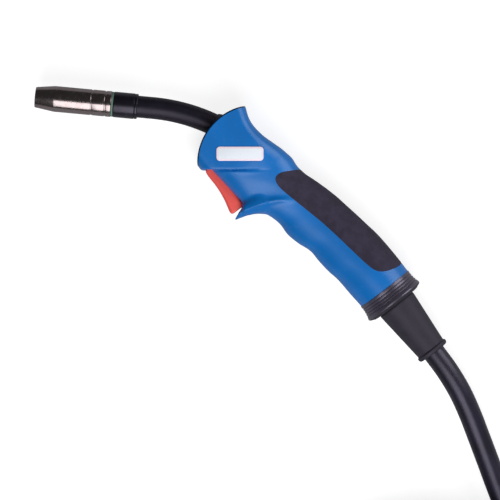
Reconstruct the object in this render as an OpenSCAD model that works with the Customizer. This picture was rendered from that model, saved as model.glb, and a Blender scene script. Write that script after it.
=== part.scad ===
// MIG welding torch with its lead: swan neck, two-part moulded handle, trigger switch,
// swivelling cable boot, coiled power cable and central connector. Millimetres.
// Every module is drawn in the handle's own frame: the origin is the centre of the handle's
// rear face, +X runs back along the grip, +Y to the back of the hand, +Z to the left side.

/* [Gas nozzle] */
// Length of the nozzle along its axis
nozzle_len = 57.5; // [50:0.5:70]
// Outer diameter of the nozzle body
nozzle_od = 19.4; // [19:0.1:21]
// Outer diameter at the mouth
nozzle_mouth_od = 15; // [14:0.1:17]
// Length of the tapered mouth
nozzle_taper = 14.5; // [8:0.5:20]
// Wall of the nozzle
nozzle_wall = 1.4; // [1:0.1:1.6]
// Distance of the rear groove from the nozzle's rear end
groove_rear = 4.1; // [3:0.1:8]
// Distance between the two grooves
groove_pitch = 10.2; // [6:0.2:12]
// Width of each groove
groove_w = 1.2; // [0.6:0.1:1.6]
// Depth of each groove
groove_depth = 0.4; // [0.2:0.05:0.6]

/* [Contact tip and holder] */
// Outer diameter of the contact tip
tip_od = 6; // [5:0.5:8]
// Length of the contact tip in front of its holder
tip_len = 25; // [20:1:30]
// Hole for the welding wire
wire_bore = 1.2; // [0.8:0.1:1.6]
// Outer diameter of the tip holder
holder_od = 9; // [8.5:0.1:10]
// Length of the tip holder in front of the neck tube
holder_len = 30; // [24:1:32]
// Outer diameter of the gas diffuser
diffuser_od = 13.4; // [12.5:0.1:13.8]
// Length of the gas diffuser
diffuser_len = 12; // [8:1:14]
// Number of gas holes round the diffuser
gas_holes = 6; // [4:1:8]

/* [Neck] */
// Angle between the grip and the nozzle
neck_bend = 47; // [40:1:60]
// Radius of the neck's bend
neck_bend_r = 135; // [120:1:150]
// Offset of the neck's straight part from the grip's axis
neck_y = -11.5; // [-13:0.1:-10]
// Distance from the handle's rear face to where the bend starts
bend_start = 116; // [112:0.5:120]
// Straight length of the neck in front of the bend
neck_straight = 13; // [8:0.5:20]
// Outer diameter of the neck's jacket
jacket_od = 16.5; // [15.5:0.1:17]
// Outer diameter of the metal tube in the jacket
neck_tube_od = 11; // [9:0.1:12]
// Bore of the metal tube
neck_tube_bore = 6; // [4:0.1:7]
// Outer diameter of the collar behind the nozzle
collar_od = 19.2; // [18.6:0.1:20]
// Length of the collar
collar_len = 17; // [12:0.5:22]
// Width of the seal ring between collar and nozzle
seal_w = 1.3; // [0.8:0.1:2]
// Outer diameter of the seal ring
seal_od = 18.7; // [18:0.1:19]
// Outer diameter of the grommet where the neck leaves the hood
grommet_od = 19.6; // [19:0.1:21]

/* [Handle shells] */
// Thickness of the moulded walls
shell_wall = 2.8; // [2.4:0.1:3.2]
// Radius of the hood's front face, seen from the side
hood_front_r = 44; // [43:0.2:46]
// Thickness of the hood's front wall
hood_front_wall = 3; // [2:0.1:4]
// Thickness of the soft grip inlays
grip_depth = 1.5; // [1:0.1:1.6]
// Outer radius of the screw bosses
boss_r = 3.5; // [3:0.1:4]
// Thickness of the ribs that hold the inner pieces
rib_w = 3; // [2:0.5:4]
// Diameter of the handle screws' shanks
screw_d = 3; // [2.5:0.1:3.2]
// Diameter of the handle screws' heads
screw_head_d = 5.6; // [5:0.1:6]

/* [Badge] */
// Length of the blank badge plate
badge_len = 35; // [20:0.5:38]
// Height of the blank badge plate
badge_h = 10.5; // [8:0.5:12]
// Thickness of the blank badge plate
badge_t = 0.6; // [0.4:0.1:1]

/* [Trigger] */
// Width of the trigger
trigger_w = 14.5; // [12:0.1:14.8]
// Diameter of the trigger's pin
trigger_pin_d = 3; // [2.5:0.1:3.4]
// Mean diameter of the trigger's spring
trigger_spring_d = 5; // [4:0.1:5.6]
// Wire diameter of the trigger's spring
trigger_wire_d = 0.8; // [0.6:0.1:1]
// Length of the microswitch
switch_len = 19.8; // [16:0.1:20]
// Height of the microswitch
switch_h = 9; // [8:0.1:9.2]
// Thickness of the microswitch
switch_t = 6.4; // [5:0.1:6.6]
// Diameter of the microswitch's plunger
plunger_d = 3; // [2:0.1:4]

/* [Rear ring, swivel ball and boot] */
// Largest diameter of the rear ring
ring_od = 47.5; // [47:0.1:49]
// Length of the rear ring
ring_len = 12.8; // [12.5:0.1:14]
// Diameter of the swivel ball
ball_d = 37; // [36.6:0.1:37.2]
// Distance of the ball's centre behind the handle's rear face
ball_x = 4.5; // [4:0.1:5]
// Gap between the ball and its socket
socket_gap = 0.4; // [0.3:0.05:0.5]
// Length of the boot's cone
boot_len = 39; // [34:1:50]
// Diameter of the boot at the ring
boot_front_d = 31; // [29:0.1:31.4]
// Diameter of the boot at its bead
boot_end_d = 23.6; // [22:0.1:26]
// Diameter of the boot's neck inside the ball
boot_neck_d = 29; // [27:0.1:29.4]

/* [Cable] */
// Diameter of the power cable
cable_d = 17; // [16:0.1:17]
// Length of the cable between the boot and the connector
cable_len = 3000; // [2900:10:3100]
// Largest radius of the coil, to the cable's centre
coil_r = 120.5; // [117:0.5:125]
// Distance from loop to loop
coil_pitch = 17.8; // [17.6:0.1:19]
// Distance from layer to layer
layer_pitch = 17.6; // [17.6:0.1:19]
// Width of each tie round the coil
tie_w = 9; // [6:0.5:14]
// Thickness of each tie
tie_t = 1.2; // [0.8:0.1:2]

/* [Central connector] */
// Outer diameter of the connector's housing
housing_d = 36; // [35:0.5:38]
// Length of the connector's housing
housing_len = 58; // [50:1:70]
// Wall of the connector's housing
housing_wall = 2.6; // [2:0.1:3]
// Outer diameter of the connector's nut
nut_d = 43; // [42:0.1:46]
// Length of the connector's nut
nut_len = 28; // [24:1:32]
// Bore of the nut's mouth
nut_bore_d = 36.8; // [36:0.1:38]
// Number of grips round the nut
nut_grips = 12; // [8:1:16]
// Diameter of the wire spigot
spigot_d = 12; // [11:0.1:13]
// Thickness of the seal ring in the spigot's groove
o_ring_d = 1.2; // [1:0.1:1.5]
// Length of the spigot in front of the connector's face
spigot_len = 26; // [22:1:34]
// Diameter of each pilot pin
pilot_d = 4; // [3:0.1:4.4]
// Length of each pilot pin in front of the connector's face
pilot_len = 12; // [8:1:16]
// Distance of each pilot pin from the spigot's axis
pilot_offset = 12.2; // [11:0.1:12.4]
// Travel of each sprung pilot pin
pilot_travel = 4; // [2:0.5:5]
// Length of the connector's cable boot
plug_boot_len = 52; // [40:1:60]

/* [Clearances] */
// Gap between the faces of bodies that move past each other
gap = 0.3; // [0.3:0.05:0.4]
// Radial clearance of pins that turn or slide in their bores
pin_gap = 0.05; // [0.03:0.01:0.08]
// Radial clearance of pieces assembled into each other
seat_gap = 0.1; // [0.05:0.01:0.15]

/* [Hidden] */
$fn = 48;

// Colours
blue = [0.13, 0.38, 0.7];
black = [0.12, 0.12, 0.13];
grip_grey = [0.24, 0.22, 0.25];
red = [0.87, 0.3, 0.28];
brass = [0.75, 0.6, 0.3];
copper = [0.72, 0.42, 0.28];
steel = [0.7, 0.7, 0.72];
white = [0.92, 0.92, 0.92];

// The torch lies on its side: the ring and the hood's flat share one height
rest_z = ring_od / 2;

// Neck: centre of the bend, its front end and the way the nozzle points
bend_centre = [-bend_start, neck_y - neck_bend_r];
nose_start = bend_centre + neck_bend_r * [-sin(neck_bend), cos(neck_bend)];
nose_dir = [-cos(neck_bend), -sin(neck_bend)];
// Distances along the nozzle's axis from the bend's front end
collar_back = neck_straight;
collar_front = collar_back + collar_len;
nozzle_back = collar_front + seal_w;
nozzle_mouth = nozzle_back + nozzle_len;
tube_front = collar_front - 6;
holder_front = tube_front + holder_len;
tip_front = holder_front + tip_len;
tip_thread_r = 2.6;
// The neck's straight ends reach into its bend, a hair thicker than it
weld = 0.02;
weld_len = 0.5;
tip_thread_len = 6;
// The spring that holds the nozzle lies in front of its seal
nozzle_spring_wire = 1;
nozzle_spring_r = nozzle_od / 2 - nozzle_wall - gap - nozzle_spring_wire / 2;
mouth_centre = nose_start + nozzle_mouth * nose_dir;

// The row's origin: bottom centre of the box round the torch without its cable
boot_front_x = ring_len + 1.2;
boot_bead_x = boot_front_x + boot_len;
boot_end_x = boot_bead_x + 6;
box_min_x = mouth_centre[0] - nozzle_mouth_od / 2 * sin(neck_bend);
box_min_y = mouth_centre[1] - nozzle_mouth_od / 2 * cos(neck_bend);
row_shift = [-(box_min_x + boot_end_x) / 2, -(box_min_y + rest_z) / 2, rest_z];

// Handle form: [x, lowest y, highest y, half width, squareness of the section]
GRIP = [
    [-184, -49, 3.2, 22.4, 3.4], [-172, -48.8, -0.5, 22.4, 3.4], [-165, -48.7, -3.1, 22.4, 3.3],
    [-158, -48.5, -4, 22.3, 3.3], [-148, -48, -2.8, 22, 3.2], [-138, -47.1, 0.2, 21.4, 3],
    [-130, -46.5, 3, 20.8, 2.9], [-122, -46, 4.9, 20, 2.8], [-114, -45.6, 4.4, 19.2, 2.7],
    [-106, -41.8, 5.6, 18.4, 2.6], [-98, -35.6, 8.3, 17.6, 2.5], [-88, -32.5, 11.3, 17.2, 2.4],
    [-78, -32.6, 13.8, 17.2, 2.3], [-68, -30.4, 15.6, 17.4, 2.3], [-58, -26.8, 17.4, 17.9, 2.3],
    [-48, -26.3, 19, 18.6, 2.2], [-38, -25.4, 20.6, 19.4, 2.2], [-28, -23.6, 21.4, 20.3, 2.1],
    [-14, -22.8, 21.9, 21.4, 2], [0, -21.9, 21.9, 21.9, 2]];
// The wider hood over it
HOOD = [
    [-184, -54.5, 4, 25.6, 3.4], [-172, -54.5, 0.3, 25.6, 3.4], [-165, -54.5, -2.3, 25.6, 3.4],
    [-158, -54.5, -3.2, 25.6, 3.4], [-148, -54.5, -2, 25.2, 3.4], [-138, -54, 1, 23.6, 3.2],
    [-130, -52, 3.4, 21.6, 3], [-122, -48, 4, 19.4, 2.8], [-114, -46, 2, 17, 2.7]];
// Side view of the part of the handle that the hood covers, with its crease to the cheek
HOOD_OUTLINE = [[-190, -62], [-155.4, -62], [-154.2, -52.1], [-132.4, -26.3], [-126, -12],
    [-118, 12], [-190, 12]];
hood_centre = [-134, -19.2];
// Where along the bend the neck crosses the hood's front face
to_hood = hood_centre - bend_centre;
exit_angle = atan2(-to_hood[0], to_hood[1]) + acos((pow(neck_bend_r, 2)
    + pow(norm(to_hood), 2) - pow(hood_front_r, 2)) / (2 * neck_bend_r * norm(to_hood)));
badge_centre = [-147.4, -23.7];
badge_angle = 52.3;
badge_corner = 3;

// Finger guard spur: [x, y, radius, half width]
SPUR = [[-110.3, -55.6, 0.8, 8], [-110.6, -50.5, 2.7, 12], [-109.9, -44.5, 4.9, 16],
    [-106, -37, 6.5, 18.2]];
// Lower edge of the grip inlays, as centres of rounding circles, and the top points over them
GRIP_EDGE = [[-114.6, -14.6], [-100, -11.8], [-85, -8.2], [-70, -4.6], [-55, -2.1], [-40, 0.1],
    [-26, 2.2], [-19, 3.8], [-13.4, 9.6], [-10.4, 20]];
GRIP_TOP = [[-106, 12], [-98, 30], [-85, 30], [-70, 30], [-55, 30], [-40, 30], [-26, 30],
    [-19, 30], [-13.4, 30], [-10.4, 30]];
grip_edge_r = 3;

// Trigger: pivot, side view, and where its spring and the switch's plunger stand
pivot = [-149, -40.5];
pivot_boss_r = 4;
TRIGGER = [[-153, -41], [-153.8, -46], [-153.8, -51.6], [-152.6, -52.9], [-148, -53.3],
    [-141, -53.1], [-134, -53.5], [-127, -54.6], [-121, -56.3], [-118, -57.1], [-116.2, -57],
    [-115.3, -55.8], [-115.3, -45], [-134, -43], [-145.5, -42]];
trigger_edge_r = 3.2;
spring_x = -119;
spring_y0 = -44.3;
spring_seat_y = -34;
plunger_x = -134;
plunger_top_y = -36;
switch_y = -40;
trigger_top_y = -43;
slot_x = [-154.5, -113.2];
frame_x = [-155.5, -113];
frame_plate = 1.8;
frame_inner_z = trigger_w / 2 + 0.75;
frame_outer_z = frame_inner_z + frame_plate;
frame_bridge_y = -31;
frame_top_y = -29;

// Neck block, cable clamp and inner cable inside the grip
block_x = [-108, -78];
block_r = 9;
crimp_x = -62;
crimp_r = 6.5;
clamp_x = [-59, -47];
clamp_r = 11.2;
ball_front_x = -6;
// Spigot on the shells that the rear ring clamps round
ring_spigot_r = 20.2;
ring_spigot_x = 6.6;
INNER_ROUTE = [[crimp_x, neck_y, 0], [-54, neck_y, 0], [-45, neck_y, 0], [-36, -9.6, 0],
    [-29, -5.8, 0], [-22, -2.2, 0], [-15, 0, 0], [ball_front_x, 0, 0]];
LEADS_ROUTE = [[-123.2, -35, 2], [-121.6, -35, 5.2], [-117, -34.4, 6.2], [-111.6, -33, 6.6],
    [-110, -27, 8.6], [-110.4, -19, 10.4], [-110.6, -11, 10.4], [-109, -4, 7.6],
    [-105, -1.2, 3], [-101, -0.8, 0], [-84, -0.8, 0], [-74, -1.6, 0], [clamp_x[0], -1.6, 0]];
lead_r = 1;
lead_y = -0.8;

// Screw bosses: [x, y, height of the head's seat on the right side]
BOSSES = [[-163, -38, -18], [-124, 0.6, -9], [-84, -26, -8.5], [-26, -18.6, -9]];

// Cable: the run from the ball to the coil, and the tail from the coil to the connector
cable_r = cable_d / 2;
floor_z = -rest_z + tie_t + gap + cable_r;
coil_centre = [243.5, -158];
// Directions from the coil's centre at which the cable comes in and goes out
coil_start = 88;
coil_end = 58;
coil_turns = 4 + (coil_start - coil_end) / 360;
coil_lead = cable_d;
RUN_ROUTE = [[ball_front_x, 0, 0], [26, 0, 0], [58, 0, 0], [76, -0.4, -0.5], [94, -2.4, -2.6],
    [112, -6.4, -5.8], [130, -11.6, -9.2], [150, -17.6, -11.8], [170, -23.8, -13.2],
    [188, -28.9, -13.7], [205, -32.8, -13.7]];
TAIL_ROUTE = [[342.6, -75.5, 3.6], [356.6, -85.2, 2.6], [368.2, -97.7, 1.1],
    [376.8, -112.4, -0.5], [382.2, -128.6, -1.75]];
// Where the tail turns straight towards the connector, which points along -Y
plug_z = -rest_z + nut_d / 2;
tail_turn = [384, -145.5, plug_z];
plug_front = housing_len;
plug_face = housing_len + 2;
nut_back = housing_len - 14;
core_r = nut_bore_d / 2 - gap - 1;
plug_screw_r = 1.4;
plug_screw_z = nut_back - 3.6;

ties = [20, 140, 260];

function lerp(a, b, t) = a + (b - a) * t;
// Smooth curve through the rows of a table, read at x
function row_at(table, x, i = 0) =
    i >= len(table) - 2 || x < table[i + 1][0] ? i : row_at(table, x, i + 1);
function slope(table, i, c) = i == 0 || i == len(table) - 1 ? 0
    : (table[i + 1][c] - table[i - 1][c]) / (table[i + 1][0] - table[i - 1][0]);
function curve(table, x, c) =
    let (i = row_at(table, x), w = table[i + 1][0] - table[i][0], t = (x - table[i][0]) / w)
    (2 * pow(t, 3) - 3 * pow(t, 2) + 1) * table[i][c]
        + (pow(t, 3) - 2 * pow(t, 2) + t) * w * slope(table, i, c)
        + (3 * pow(t, 2) - 2 * pow(t, 3)) * table[i + 1][c]
        + (pow(t, 3) - pow(t, 2)) * w * slope(table, i + 1, c);

function signed_pow(v, p) = sign(v) * pow(abs(v), p);
// One ring of a loft through such a table, drawn in by a wall
function ring_points(table, x, inset, sides) =
    let (lo = curve(table, x, 1) + inset, hi = curve(table, x, 2) - inset,
        half = curve(table, x, 3) - inset, p = 2 / curve(table, x, 4))
    [for (k = [0:sides - 1]) let (a = 360 * k / sides)
        [x, (lo + hi) / 2 + (hi - lo) / 2 * signed_pow(sin(a), p), half * signed_pow(cos(a), p)]];

// Faces of a tube of rings with closed ends
function tube_faces(rings, sides) = concat(
    [for (i = [0:rings - 2], k = [0:sides - 1], f = [0, 1])
        let (a = i * sides + k, b = i * sides + (k + 1) % sides, c = b + sides, d = a + sides)
        f == 0 ? [a, b, c] : [a, c, d]],
    [for (k = [1:sides - 2]) [0, k + 1, k]],
    [for (k = [1:sides - 2]) let (o = (rings - 1) * sides) [o, o + k, o + k + 1]]);

module loft(table, inset, from_x, to_x, rings, sides = 24) {
    points = [for (i = [0:rings - 1])
        each ring_points(table, lerp(from_x, to_x, i / (rings - 1)), inset, sides)];
    polyhedron(points, tube_faces(rings, sides), convexity = 6);
}

// A round tube swept along points, each ring square to its neighbours' chord
function unit(v) = v / norm(v);
function heading(p, i) = i == 0 ? unit(p[1] - p[0])
    : i == len(p) - 1 ? unit(p[i] - p[i - 1]) : unit(p[i + 1] - p[i - 1]);
function side_of(d) = unit(cross(abs(d[2]) > 0.9 ? [1, 0, 0] : [0, 0, 1], d));
function sweep_points(p, r, sides) = [for (i = [0:len(p) - 1])
    let (d = heading(p, i), u = side_of(d), v = cross(d, u))
    each [for (k = [0:sides - 1]) let (a = 360 * (k + 0.5) / sides)
        p[i] + r * (cos(a) * u + sin(a) * v)]];
module sweep(p, r, sides) {
    polyhedron(sweep_points(p, r, sides),
        [for (f = tube_faces(len(p), sides)) [f[0], f[2], f[1]]], convexity = 8);
}

// Length of a route, and more points along it on a smooth curve
function route_len(p, i = 1) = i >= len(p) ? 0 : norm(p[i] - p[i - 1]) + route_len(p, i + 1);
function spline_point(a, b, c, d, t) = 0.5 * (2 * b + (c - a) * t
    + (2 * a - 5 * b + 4 * c - d) * pow(t, 2) + (3 * b - a - 3 * c + d) * pow(t, 3));
function smooth_route(p, steps) = concat([for (i = [0:len(p) - 2], s = [0:steps - 1])
    spline_point(p[max(i - 1, 0)], p[i], p[i + 1], p[min(i + 2, len(p) - 1)], s / steps)],
    [p[len(p) - 1]]);

// Coil: winds in, climbs one layer while it turns back, and winds out again
coil_half = coil_turns / 2;
function coil_radius(t) = coil_r - coil_pitch * min(t, coil_turns - t);
function coil_height(t) = floor_z + layer_pitch * min(max((t - coil_half + 0.25) / 0.5, 0), 1);
function coil_point(t) = let (a = coil_start - 360 * t)
    [coil_centre[0] + coil_radius(t) * cos(a), coil_centre[1] + coil_radius(t) * sin(a),
        coil_height(t)];
coil_in = unit(coil_point(0.01) - coil_point(0));
coil_out = unit(coil_point(coil_turns) - coil_point(coil_turns - 0.01));
run_end = coil_point(0) - coil_lead * coil_in;
tail_start = coil_point(coil_turns) + coil_lead * coil_out;
loop_rings = 24;
coil_steps = round(coil_turns * loop_rings);
COIL_ROUTE = concat([run_end], [for (i = [0:coil_steps]) coil_point(i / loop_rings)],
    [tail_start]);
run_route = concat(RUN_ROUTE, [run_end - 14 * coil_in, run_end]);
tail_bend = concat([tail_start, tail_start + 12 * coil_out], TAIL_ROUTE, [tail_turn]);
// The last straight stretch takes up what is left of the cable's length
cable_used = route_len(run_route) - (boot_end_x - ball_front_x) + route_len(COIL_ROUTE)
    + route_len(tail_bend);
tail_straight = cable_len - cable_used;
plug_at = tail_turn - [0, tail_straight, 0];
tail_route = concat(tail_bend, [tail_turn - [0, tail_straight / 2, 0], plug_at]);
echo(tail_straight = tail_straight, plug_at = plug_at + row_shift);
// Least gap between loops a turn or more apart
coil_gap = min([for (i = [0:coil_steps], j = [i + 18:1:coil_steps])
    norm(coil_point(i / loop_rings) - coil_point(j / loop_rings))]) - cable_d;
echo(coil_gap = coil_gap);

module place() {
    translate(row_shift) children();
}

// Local Z runs along the nozzle's axis from the bend's front end
module nose(s = 0) {
    translate([nose_start[0], nose_start[1], 0]) rotate([0, 0, 180 + neck_bend])
        rotate([0, 90, 0]) translate([0, 0, s]) children();
}

// Local Z runs back along the grip's axis
module grip_axis(x = 0, y = 0) {
    translate([x, y, 0]) rotate([0, 90, 0]) children();
}

// Local Z runs out of the connector along -Y
module plug_axis(s = 0) {
    translate(plug_at) rotate([90, 0, 0]) translate([0, 0, s]) children();
}

module tube(r_out, r_in, h) {
    difference() {
        cylinder(h = h, r = r_out);
        translate([0, 0, -1]) cylinder(h = h + 2, r = r_in);
    }
}

// ---- Handle ----

module front_trim(r) {
    translate([hood_centre[0], hood_centre[1], -40]) cylinder(h = 80, r = r, $fn = 80);
    translate([hood_centre[0], -80, -40]) cube([160, 140, 80]);
}

module spur_disc(s) {
    translate([s[0], s[1], -s[3]]) cylinder(h = 2 * s[3], r = s[2], $fn = 20);
}

module outer_form() {
    intersection() {
        union() {
            loft(GRIP, 0, -183, 0, 31);
            intersection() {
                loft(HOOD, 0, -183, -114.2, 14);
                translate([0, 0, -40]) linear_extrude(80) polygon(HOOD_OUTLINE);
            }
            for (i = [0:len(SPUR) - 2]) hull() {
                spur_disc(SPUR[i]);
                spur_disc(SPUR[i + 1]);
            }
        }
        front_trim(hood_front_r);
        translate([-200, -90, -rest_z]) cube([200, 140, 2 * rest_z]);
    }
}

module cavity() {
    intersection() {
        loft(GRIP, shell_wall, -182, -shell_wall - 1, 22, 20);
        front_trim(hood_front_r - hood_front_wall);
    }
}

module grip_outline(height) {
    for (i = [0:len(GRIP_EDGE) - 2]) hull() {
        for (p = [GRIP_EDGE[i], GRIP_EDGE[i + 1], GRIP_TOP[i], GRIP_TOP[i + 1]])
            translate([p[0], p[1], -height]) cylinder(h = 2 * height, r = grip_edge_r, $fn = 16);
    }
}

// Half of the space: the left side is +Z
module half_space(side) {
    translate([-250, -120, side > 0 ? 0 : -60]) cube([300, 240, 60]);
}

// The space of the grip inlays, open to the outside
module grip_recess() {
    difference() {
        grip_outline(40);
        loft(GRIP, grip_depth, -150, 0, 26);
    }
}

module boss(b) {
    translate([b[0], b[1], -30]) cylinder(h = 60, r = boss_r, $fn = 24);
    for (a = [0, 90]) hull() {
        translate([b[0], b[1], -30]) rotate([0, 0, a])
            translate([-boss_r - 1.5, -0.8, 0]) cube([2 * boss_r + 3, 1.6, 60]);
    }
}

// Ribs that carry the neck block, the cable clamp and the switch frame
module ribs() {
    for (x = [-97.3 - rib_w, block_x[1] - rib_w - 2]) rib(x, block_r + gap);
    rib((clamp_x[0] + clamp_x[1] - rib_w) / 2, clamp_r + gap);
    for (x = [-142, -121], s = [-1, 1])
        translate([x, -41, s > 0 ? frame_outer_z + gap : -30])
            cube([rib_w, 11, 30 - frame_outer_z - gap]);
}

module rib(x, hole_r) {
    difference() {
        translate([x, -50, -30]) cube([rib_w, 80, 60]);
        grip_axis(x - 1, neck_y) cylinder(h = rib_w + 2, r = hole_r);
        // Passage for the control leads
        translate([x - 1, lead_y - 3, -lead_r - gap]) cube([rib_w + 2, 5, 2 * (lead_r + gap)]);
    }
}

module neck_exit(s = 0) {
    translate([bend_centre[0], bend_centre[1], 0]) rotate([0, 0, exit_angle])
        translate([0, neck_bend_r, 0]) rotate([0, -90, 0]) translate([0, 0, s]) children();
}

module handle_shell(side) {
    difference() {
        union() {
            intersection() {
                outer_form();
                half_space(side);
                union() {
                    difference() {
                        translate([-250, -120, -60]) cube([300, 240, 120]);
                        cavity();
                    }
                    for (b = BOSSES) boss(b);
                    ribs();
                }
            }
            // Spigot that the rear ring clamps round
            intersection() {
                grip_axis(-2) cylinder(h = ring_spigot_x + 2, r = ring_spigot_r, $fn = 64);
                half_space(side);
            }
        }
        grip_recess();
        socket();
        grip_axis(-30) cylinder(h = 26, r = 14.5);
        neck_exit(-16) cylinder(h = 36, r = grommet_od / 2 + 0.2);
        grip_axis(-bend_start - 14, neck_y)
            cylinder(h = bend_start + 14 + block_x[0] + 2, r = jacket_od / 2 + gap);
        translate([slot_x[0], -62, -trigger_w / 2 - 0.5])
            cube([slot_x[1] - slot_x[0], 22, trigger_w + 1]);
        for (b = BOSSES) {
            translate([b[0], b[1], b[2] - 1])
                cylinder(h = 12 - b[2], r = screw_d / 2 + 0.2, $fn = 24);
            translate([b[0], b[1], b[2] - 30]) cylinder(h = 30, r = screw_head_d / 2 + 0.3, $fn = 24);
        }
    }
}

// The ball's socket in the shells, a ring of a few flats
module socket() {
    r = ball_d / 2 + socket_gap + 0.1;
    arc = [for (x = [-6, -3, 0, 3, 6, 9]) [sqrt(r * r - pow(x - ball_x, 2)), x]];
    grip_axis() rotate_extrude($fn = 60) polygon(concat([[0, -6]], arc, [[0, 9]]));
}

module handle_shell_left() {
    place() color(blue) handle_shell(1);
}

module handle_shell_right() {
    place() color(blue) handle_shell(-1);
}

module grip_inlay(side) {
    intersection() {
        loft(GRIP, 0, -183, 0, 31);
        grip_recess();
        half_space(side);
    }
}

module grip_left() {
    place() color(grip_grey) grip_inlay(1);
}

module grip_right() {
    place() color(grip_grey) grip_inlay(-1);
}

module handle_screws() {
    place() color(steel) for (b = BOSSES) translate([b[0], b[1], b[2]]) {
        cylinder(h = 9.5 - b[2], r = screw_d / 2);
        difference() {
            translate([0, 0, -2.4]) cylinder(h = 2.4, r = screw_head_d / 2);
            for (a = [0, 90]) rotate([0, 0, a]) translate([-1.6, -0.35, -3]) cube([3.2, 0.7, 1.8]);
        }
    }
}

module badge_plate() {
    place() color(white) translate([badge_centre[0], badge_centre[1], rest_z])
        rotate([0, 0, badge_angle]) linear_extrude(badge_t) {
            square([badge_len - 2 * badge_corner, badge_h], center = true);
            square([badge_len, badge_h - 2 * badge_corner], center = true);
            for (sx = [-1, 1], sy = [-1, 1])
                translate([sx * (badge_len / 2 - badge_corner), sy * (badge_h / 2 - badge_corner)])
                    circle(badge_corner);
        }
}

// ---- Front end ----

module gas_nozzle() {
    r = nozzle_od / 2;
    m = nozzle_mouth_od / 2;
    g = groove_depth;
    body = nozzle_len - nozzle_taper;
    place() color("dimgray") nose(nozzle_back)
        rotate_extrude() polygon([
            [r - nozzle_wall, 0], [r - 0.3, 0], [r, 0.4],
            for (z = [groove_rear, groove_rear + groove_pitch])
                each [[r, z], [r - g, z], [r - g, z + groove_w], [r, z + groove_w]],
            [r, body], [m + 0.2, nozzle_len - 0.4], [m - 0.3, nozzle_len],
            [m - nozzle_wall, nozzle_len], [r - nozzle_wall, body - 2]]);
}

module seal_ring() {
    place() color("mediumseagreen") nose(collar_front)
        tube(seal_od / 2, neck_tube_od / 2 + seat_gap, seal_w);
}

module neck_collar() {
    r = collar_od / 2;
    place() color(black) nose(collar_back) rotate_extrude() polygon([
        [neck_tube_od / 2 + seat_gap, 0], [r - 1, 0], [r - 0.7, 0.8], [r - 0.7, 3.4], [r, 4.4],
        [r, collar_len], [neck_tube_od / 2 + seat_gap, collar_len]]);
}

// A bent tube: straight to the nozzle, round the bend and straight into the handle
module neck_pipe(r_out, r_in, front, back) {
    translate([bend_centre[0], bend_centre[1], 0]) rotate([0, 0, 90]) {
        rotate_extrude(angle = neck_bend, $fn = 120) translate([neck_bend_r, 0]) difference() {
            circle(r_out);
            circle(r_in);
        }
        rotate([0, 0, neck_bend]) translate([neck_bend_r, -weld_len, 0]) rotate([-90, 0, 0])
            tube(r_out + weld, r_in - weld, front + weld_len);
        translate([neck_bend_r, weld_len, 0]) rotate([90, 0, 0])
            tube(r_out + weld, r_in - weld, back + weld_len);
    }
}

module neck_tube() {
    place() color(copper)
        neck_pipe(neck_tube_od / 2, neck_tube_bore / 2, tube_front, bend_start + block_x[0] + 14);
}

module neck_jacket() {
    place() color(black) neck_pipe(jacket_od / 2, neck_tube_od / 2 + seat_gap, neck_straight,
        bend_start + block_x[0]);
}

module neck_grommet() {
    place() color(black) neck_exit(-4.5) difference() {
        union() {
            cylinder(h = 7.5, r = grommet_od / 2);
            translate([0, 0, 7.5]) cylinder(h = 1.4, r1 = grommet_od / 2, r2 = jacket_od / 2 + 0.7);
        }
        translate([0, 0, -1]) cylinder(h = 12, r = jacket_od / 2 + 0.2);
    }
}

module neck_block() {
    place() color(brass) difference() {
        union() {
            grip_axis(block_x[0], neck_y) cylinder(h = block_x[1] - block_x[0], r = block_r);
            grip_axis(-97, neck_y) cylinder(h = 8, r = block_r + 1.6, $fn = 6);
            grip_axis(block_x[1], neck_y) cylinder(h = crimp_x - block_x[1], r = crimp_r);
        }
        grip_axis(block_x[0] - 1, neck_y) cylinder(h = 15, r = neck_tube_od / 2 + seat_gap);
        grip_axis(block_x[0] + 13, neck_y) cylinder(h = 60, r = neck_tube_bore / 2);
    }
}

module tip_holder() {
    place() color(brass) nose() rotate_extrude() polygon([
        [wire_bore / 2 + 0.6, tube_front - 6], [neck_tube_bore / 2 - seat_gap, tube_front - 6],
        [neck_tube_bore / 2 - seat_gap, tube_front], [holder_od / 2, tube_front],
        [holder_od / 2, holder_front - 1], [holder_od / 2 - 1, holder_front],
        [tip_thread_r, holder_front], [tip_thread_r, holder_front - tip_thread_len],
        [wire_bore / 2 + 0.6, holder_front - tip_thread_len]]);
}

module contact_tip() {
    place() color(copper) nose() rotate_extrude() polygon([
        [wire_bore / 2, holder_front - tip_thread_len], [tip_thread_r - 0.05, holder_front - tip_thread_len],
        [tip_thread_r - 0.05, holder_front], [tip_od / 2, holder_front],
        [tip_od / 2, tip_front - 8], [tip_od / 2 - 0.9, tip_front], [wire_bore / 2, tip_front]]);
}

module gas_diffuser() {
    place() color(white) nose(holder_front - diffuser_len - 2) difference() {
        tube(diffuser_od / 2, holder_od / 2 + seat_gap, diffuser_len);
        for (i = [0:gas_holes - 1]) rotate([0, 0, 360 * i / gas_holes])
            translate([0, 0, diffuser_len / 2]) rotate([0, 90, 0]) cylinder(h = 12, r = 0.9);
    }
}

// A spring wound round local Z from z0 to z1, with straight ends a wire diameter long
function helix(r, z0, z1, turns, steps) = [for (i = [0:steps * turns])
    let (a = 360 * i / steps) [r * cos(a), r * sin(a), lerp(z0, z1, i / (steps * turns))]];

module nozzle_spring() {
    z0 = nozzle_back + nozzle_spring_wire / 2 + 0.2;
    place() color(steel) nose()
        sweep(helix(nozzle_spring_r, z0, holder_front - diffuser_len - 2 - nozzle_spring_wire, 4, 8),
            nozzle_spring_wire / 2, 6);
}

// ---- Trigger and switch ----

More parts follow.
